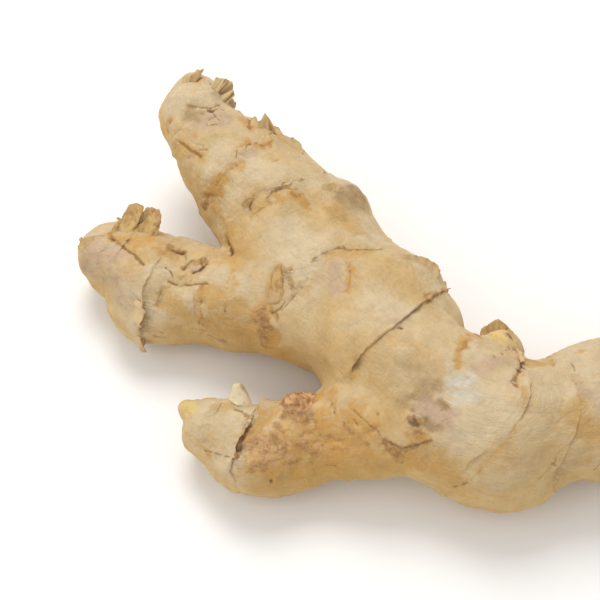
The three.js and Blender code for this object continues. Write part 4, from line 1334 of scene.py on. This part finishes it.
class GINGER_OT_flakes(bpy.types.Operator):
    """Sets small torn flakes of skin along the lips of the rings"""
    bl_idname = "ginger.flakes"
    bl_label = "Ring flakes"

    def execute(self, context):
        settings = context.scene.ginger_flakes
        draw = np.random.default_rng(settings.seed)
        spots = ring_points(settings.spacing * 1000, draw)
        piece = mesh_object("ring_flakes", [spot[0] for spot in spots], [])
        set_attribute(piece.data, "outward", [spot[1] for spot in spots])
        set_attribute(piece.data, "ahead", [spot[2] for spot in spots])
        set_attribute(piece.data, "size", [spot[3] for spot in spots])
        tree = flake_tree()
        inputs = {item.name: item.identifier for item in tree.interface.items_tree if item.in_out == "INPUT"}
        maker = piece.modifiers.new("flakes", "NODES")
        maker.node_group = tree
        maker[inputs["Length"]] = settings.length
        maker[inputs["Seed"]] = settings.seed
        maker[inputs["Material"]] = torn_material("ring_flake", context.scene.ginger_skin)
        thick = piece.modifiers.new("thickness", "SOLIDIFY")
        thick.thickness = settings.thickness
        thick.offset = 0
        baked(piece)
        if not piece.data.polygons:
            raise RuntimeError("the flakes' nodes made no faces")
        set_points(piece.data, held_in_box(mesh_points(piece.data)))
        smooth_faces(piece.data)
        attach(piece, "root")
        return {"FINISHED"}


class Paint:
    """A material's node tree, with short ways to add and link its nodes."""

    def __init__(self, name):
        self.material = bpy.data.materials.new(name)
        self.material.use_nodes = True
        self.tree = self.material.node_tree
        self.shader = self.tree.nodes["Principled BSDF"]

    def link(self, value, socket):
        if isinstance(value, bpy.types.NodeSocket):
            self.tree.links.new(value, socket)
        else:
            socket.default_value = value

    def attribute(self, name, output="Fac"):
        node = self.tree.nodes.new("ShaderNodeAttribute")
        node.attribute_name = name
        return node.outputs[output]

    def place(self):
        return self.tree.nodes.new("ShaderNodeTexCoord").outputs["Object"]

    def stretch(self, vector, scale):
        node = self.tree.nodes.new("ShaderNodeMapping")
        self.link(vector, node.inputs["Vector"])
        node.inputs["Scale"].default_value = scale
        return node.outputs[0]

    def noise(self, vector, scale, detail=3.0, roughness=0.55, distortion=0.0):
        node = self.tree.nodes.new("ShaderNodeTexNoise")
        self.link(vector, node.inputs["Vector"])
        node.inputs["Scale"].default_value = scale
        node.inputs["Detail"].default_value = detail
        node.inputs["Roughness"].default_value = roughness
        node.inputs["Distortion"].default_value = distortion
        return node.outputs[0]

    def math(self, operation, first, second=0.0, clamp=False):
        node = self.tree.nodes.new("ShaderNodeMath")
        node.operation = operation
        node.use_clamp = clamp
        self.link(first, node.inputs[0])
        self.link(second, node.inputs[1])
        return node.outputs[0]

    def step(self, value, low, high, start=0.0, end=1.0):
        """A soft step of the value from start at low to end at high."""
        node = self.tree.nodes.new("ShaderNodeMapRange")
        node.interpolation_type = "SMOOTHSTEP"
        self.link(value, node.inputs["Value"])
        for name, number in (("From Min", low), ("From Max", high), ("To Min", start), ("To Max", end)):
            node.inputs[name].default_value = number
        return node.outputs[0]

    def mix(self, share, first, second, blend="MIX"):
        node = self.tree.nodes.new("ShaderNodeMix")
        node.data_type = "RGBA"
        node.blend_type = blend
        self.link(share, node.inputs["Factor"])
        for value, socket in ((first, node.inputs[6]), (second, node.inputs[7])):
            self.link(value if isinstance(value, bpy.types.NodeSocket) else (*value, 1.0), socket)
        return node.outputs[2]

    def bump(self, height, distance, strength=1.0, normal=None):
        node = self.tree.nodes.new("ShaderNodeBump")
        self.link(height, node.inputs["Height"])
        node.inputs["Distance"].default_value = distance
        node.inputs["Strength"].default_value = strength
        if normal is not None:
            self.link(normal, node.inputs["Normal"])
        return node.outputs[0]


def fresh_skin(paint, settings):
    """The unmarked skin's colour, with ragged noise for the edges of its marks."""
    place = paint.place()
    patches = paint.noise(place, 38.0, 4.0, 0.6, 0.5)
    clouds = paint.noise(place, 105.0, 4.0, 0.62, 0.7)
    pinks = paint.noise(place, 62.0, 3.0, 0.6, 0.3)
    ragged = paint.noise(place, 360.0, 6.0, 0.7, 0.9)
    colour = paint.mix(paint.step(patches, 0.36, 0.64), tuple(settings.tan), tuple(settings.pale))
    colour = paint.mix(paint.step(clouds, 0.45, 0.75, 0.0, 0.55), colour, tuple(settings.ochre))
    colour = paint.mix(paint.step(pinks, 0.52, 0.78, 0.0, 0.55), colour, tuple(settings.blush))
    return place, ragged, colour


def glow(paint):
    """Lets a little light through the outer skin, warm as flesh."""
    paint.shader.inputs["Subsurface Weight"].default_value = 0.25
    paint.shader.inputs["Subsurface Radius"].default_value = (1.0, 0.5, 0.2)
    paint.shader.inputs["Subsurface Scale"].default_value = 0.0025


def skin_material(settings):
    """Papery ginger skin: tan with pale, pink and yellow flushes, stained rings, pits and rubbed marks."""
    paint = Paint("ginger_skin")
    place, ragged, colour = fresh_skin(paint, settings)
    grain = paint.attribute("grain", "Vector")
    unjoined = paint.attribute("unjoined")

    def along_limb(stretch, scale, detail, distortion):
        """Noise that follows the limbs, and fades where two of them meet."""
        level = paint.noise(paint.stretch(grain, stretch), scale, detail, 0.6, distortion)
        return paint.math("ADD", paint.math("MULTIPLY", paint.math("SUBTRACT", level, 0.5), unjoined), 0.5)

    fibres = along_limb((0.22, 1.0, 1.0), 2.2, 3.0, 0.5)
    lines = along_limb((1.0, 0.12, 0.12), 1.5, 3.0, 0.3)
    wrinkles = along_limb((0.5, 1.0, 1.0), 0.85, 4.0, 1.1)
    mottle = paint.noise(place, 240.0, 4.0, 0.65, 0.4)
    speckle = paint.noise(place, 1100.0, 2.0, 0.6)
    tear = paint.math("SUBTRACT", ragged, 0.5)
    flecks = paint.noise(place, 850.0, 4.0, 0.7, 0.6)

    def marked(base, name, paint_colour, low, high, most, ragging):
        """Lays a mark's colour over the base, with a ragged edge."""
        level = paint.math("ADD", paint.attribute(name), paint.math("MULTIPLY", tear, ragging))
        return paint.mix(paint.step(level, low, high, 0.0, most), base, paint_colour)

    # Painted shade: the skin turned away from above is painted a deeper gold, as the warm shade of the sides
    turned = paint.step(paint.attribute("side"), 0.15, 0.95, 0.0, 0.85)
    painted_gold_shade = paint.mix(1.0, colour, PAINTED_SHADE_TINT, "MULTIPLY")
    colour = paint.mix(turned, colour, painted_gold_shade)
    colour = marked(colour, "pale", tuple(settings.pale), 0.1, 0.9, 0.9, 1.1)
    colour = marked(colour, "ochre", tuple(settings.ochre), 0.15, 0.9, 0.8, 1.1)
    colour = marked(colour, "blush", tuple(settings.blush), 0.2, 0.85, 0.9, 1.0)
    colour = marked(colour, "amber", tuple(settings.amber), 0.15, 0.95, 0.9, 1.4)
    scabs = paint.mix(paint.step(flecks, 0.42, 0.6), SCAB_PALE, SCAB_DARK)
    scabs = paint.mix(paint.step(flecks, 0.6, 0.68, 0.0, 0.7), scabs, tuple(settings.burn))
    colour = marked(colour, "cork", scabs, 0.2, 0.8, 0.75, 1.6)
    colour = marked(colour, "shade", tuple(settings.shade), 0.15, 1.0, 0.85, 0.9)
    stain = paint.mix(paint.step(flecks, 0.4, 0.62), tuple(settings.rust), DARK_STAIN)
    colour = marked(colour, "rust", stain, 0.3, 0.95, 0.85, 1.5)

    # Each ring has a rusty flush and a dark crack behind its lip, with the painted shadow that the lip casts
    # there, and a dry pale edge before it
    strength = paint.attribute("lip_strength")
    behind = paint.attribute("behind_lip")
    before = paint.attribute("before_lip")
    flushed = paint.math("MULTIPLY", paint.step(behind, 0.1, 2.8, 1.0, 0.0), paint.step(ragged, 0.42, 0.58))
    flushed = paint.math("MULTIPLY", flushed, paint.math("MULTIPLY", strength, 0.6), clamp=True)
    colour = paint.mix(flushed, colour, RING_FLUSH)
    broken = paint.step(ragged, 0.38, 0.52, 0.15, 1.0)
    crack_shadow = paint.math("MULTIPLY", paint.step(behind, 0.05, 0.45, 1.0, 0.0), broken)
    depth = paint.math("MULTIPLY", strength, paint.attribute("crack_shadow"))
    crack_shadow = paint.math("MULTIPLY", crack_shadow, depth, clamp=True)
    colour = paint.mix(crack_shadow, colour, tuple(settings.burn))
    worn = paint.step(ragged, 0.4, 0.6, 0.1, 0.9)
    dry = paint.math("MULTIPLY", paint.step(before, 0.1, 1.3, 1.0, 0.0), worn)
    dry = paint.math("MULTIPLY", dry, paint.math("MULTIPLY", strength, 0.6), clamp=True)
    colour = paint.mix(dry, colour, tuple(settings.blush))

    # The line marks paint thin brown lines and the shade in the creases, folds and cracks they follow
    colour = marked(colour, "line", CREASE_STAIN_AND_SHADE, 0.4, 0.85, 0.85, 0.9)
    colour = marked(colour, "burn", tuple(settings.burn), 0.35, 0.95, 0.9, 1.2)
    colour = marked(colour, "ash_and_sheen", tuple(settings.ash_and_sheen), 0.25, 0.95, 0.9, 1.0)
    colour = marked(colour, "gold", YELLOW_BUD, 0.2, 0.6, 1.0, 0.6)
    ivory = paint.mix(paint.step(mottle, 0.45, 0.62), IVORY_BUD, IVORY_STAIN)
    colour = paint.mix(paint.attribute("ivory"), colour, ivory)
    scar_colour = paint.mix(paint.step(ragged, 0.4, 0.58), SCAR_DARK, SCAR_PALE)
    colour = paint.mix(paint.attribute("scar"), colour, scar_colour)
    pores = paint.step(paint.noise(place, 520.0, 2.0, 0.5), 0.72, 0.80, 0.0, 0.5)
    colour = paint.mix(pores, colour, tuple(settings.rust))

    light = paint.math("ADD", paint.math("MULTIPLY", mottle, 0.6), paint.math("MULTIPLY", fibres, 0.3))
    light = paint.math("ADD", light, paint.math("MULTIPLY", speckle, 0.25))
    light = paint.math("ADD", light, paint.math("MULTIPLY", lines, 0.2))
    shaded = paint.step(light, 0.42, 0.93, 0.87, 1.09)
    tint = paint.tree.nodes.new("ShaderNodeCombineColor")
    for socket in tint.inputs:
        paint.link(shaded, socket)
    colour = paint.mix(1.0, colour, tint.outputs[0], "MULTIPLY")
    paint.link(colour, paint.shader.inputs["Base Color"])

    rough_level = paint.math("ADD", paint.step(ragged, 0.3, 0.7, 0.48, 0.66),
                             paint.math("MULTIPLY", paint.attribute("ash_and_sheen"), -0.15))
    paint.link(rough_level, paint.shader.inputs["Roughness"])
    paint.shader.inputs["Specular IOR Level"].default_value = 0.38
    glow(paint)
    scabby = paint.math("MULTIPLY", flecks, paint.attribute("cork"))
    crumpled = paint.bump(paint.math("ADD", wrinkles, scabby), 0.0006, 0.7)
    lined = paint.bump(paint.math("ADD", lines, mottle), 0.0003, 0.7, crumpled)
    fine = paint.bump(paint.math("ADD", fibres, paint.math("MULTIPLY", speckle, 0.6)),
                      settings.fibre_depth, 0.8, lined)
    paint.link(fine, paint.shader.inputs["Normal"])
    return paint.material


def torn_material(name, settings):
    """Torn skin and dry scales: the skin's own colours where fresh, brown paper where dry."""
    paint = Paint(name)
    place, ragged, fresh = fresh_skin(paint, settings)
    edge = paint.attribute("edge")
    dry = paint.attribute("dry")
    mottled = paint.noise(place, 480.0, 4.0, 0.65, 0.5)
    veins = paint.noise(paint.stretch(place, (1.0, 0.4, 0.4)), 1500.0, 2.0, 0.6)
    brown = paint.mix(paint.step(mottled, 0.38, 0.62), DRY_DARK, DRY_LIGHT)
    pale = paint.mix(0.65, fresh, TORN_PALE)
    colour = paint.mix(paint.math("MULTIPLY", dry, paint.step(edge, 0.0, 0.5, 0.5, 1.0)), pale, brown)
    rim = paint.math("ADD", edge, paint.math("MULTIPLY", paint.math("SUBTRACT", ragged, 0.5), 0.8))
    colour = paint.mix(paint.step(rim, 0.7, 1.05, 0.0, 0.5), colour, TORN_RIM)
    colour = paint.mix(paint.step(veins, 0.45, 0.7, 0.0, 0.3), colour, TORN_VEIN)
    paint.link(colour, paint.shader.inputs["Base Color"])
    paint.shader.inputs["Roughness"].default_value = 0.65
    paint.shader.inputs["Specular IOR Level"].default_value = 0.32
    paint.link(paint.bump(paint.math("ADD", veins, mottled), 0.0002, 0.6), paint.shader.inputs["Normal"])
    return paint.material


class GINGER_OT_stage(bpy.types.Operator):
    """Sets the pale floor, the soft studio light and the camera"""
    bl_idname = "ginger.stage"
    bl_label = "Stage"

    def execute(self, context):
        settings = context.scene.ginger_stage
        scene = context.scene
        scene.view_settings.view_transform = "Standard"
        floor = mesh_object("floor", [(-4000, -4000, 0), (4000, -4000, 0), (4000, 4000, 0), (-4000, 4000, 0)],
                            [(0, 1, 2, 3)])
        paint = Paint("floor")
        paint.shader.inputs["Base Color"].default_value = (*settings.floor, 1.0)
        paint.shader.inputs["Roughness"].default_value = 0.9
        paint.shader.inputs["Specular IOR Level"].default_value = 0.1
        floor.data.materials.append(paint.material)

        world = bpy.data.worlds.new("studio")
        world.use_nodes = True
        world.node_tree.nodes["Background"].inputs["Color"].default_value = (1.0, 0.99, 0.975, 1.0)
        world.node_tree.nodes["Background"].inputs["Strength"].default_value = 0.7
        scene.world = world

        for name, power, size, spot in (
            ("key", settings.key_power, 0.42, (-0.1, 0.4, 0.72)),
            ("fill", settings.key_power * 0.3, 0.7, (-0.5, -0.3, 0.5)),
        ):
            lamp = bpy.data.lights.new(name, "AREA")
            lamp.energy = power
            lamp.size = size
            lamp.color = (1.0, 0.985, 0.955)
            holder = bpy.data.objects.new(name, lamp)
            holder.location = spot
            aim = Vector(CAMERA_TARGET) / 1000 - holder.location
            holder.rotation_euler = aim.to_track_quat("-Z", "Y").to_euler()
            scene.collection.objects.link(holder)

        lens = bpy.data.cameras.new("camera")
        lens.sensor_width = FRAME_WIDTH
        lens.lens = settings.lens
        lens.clip_start = 0.01
        lens.clip_end = 20.0
        camera = bpy.data.objects.new("camera", lens)
        ahead = Vector((0, math.cos(settings.elevation), -math.sin(settings.elevation)))
        camera.location = (Vector(CAMERA_TARGET) - ahead * CAMERA_DISTANCE) / 1000
        camera.rotation_euler = ahead.to_track_quat("-Z", "Y").to_euler()
        scene.collection.objects.link(camera)
        scene.camera = camera
        return {"FINISHED"}


class GINGER_PT_panel(bpy.types.Panel):
    """Lists the root's pieces and their settings"""
    bl_idname = "GINGER_PT_panel"
    bl_label = "Ginger root"
    bl_space_type = "VIEW_3D"
    bl_region_type = "UI"
    bl_category = "Ginger"

    def draw(self, context):
        scene = context.scene
        for operator, settings in (
            ("ginger.skin", scene.ginger_skin),
            ("ginger.scales", None),
            ("ginger.flakes", scene.ginger_flakes),
            ("ginger.stage", scene.ginger_stage),
        ):
            box = self.layout.box()
            box.operator(operator)
            if settings is None:
                continue
            for name in settings.__annotations__:
                box.prop(settings, name)


CLASSES = (
    SkinSettings, FlakeSettings, StageSettings, GINGER_OT_skin, GINGER_OT_scales, GINGER_OT_flakes,
    GINGER_OT_stage, GINGER_PT_panel,
)


def register():
    for one in CLASSES:
        bpy.utils.register_class(one)
    bpy.types.Scene.ginger_skin = PointerProperty(type=SkinSettings)
    bpy.types.Scene.ginger_flakes = PointerProperty(type=FlakeSettings)
    bpy.types.Scene.ginger_stage = PointerProperty(type=StageSettings)


def unregister():
    del bpy.types.Scene.ginger_skin
    del bpy.types.Scene.ginger_flakes
    del bpy.types.Scene.ginger_stage
    for one in reversed(CLASSES):
        bpy.utils.unregister_class(one)


def main():
    register()
    bpy.ops.ginger.skin()
    bpy.ops.ginger.scales()
    bpy.ops.ginger.flakes()
    bpy.ops.ginger.stage()


if __name__ == "__main__":
    main()
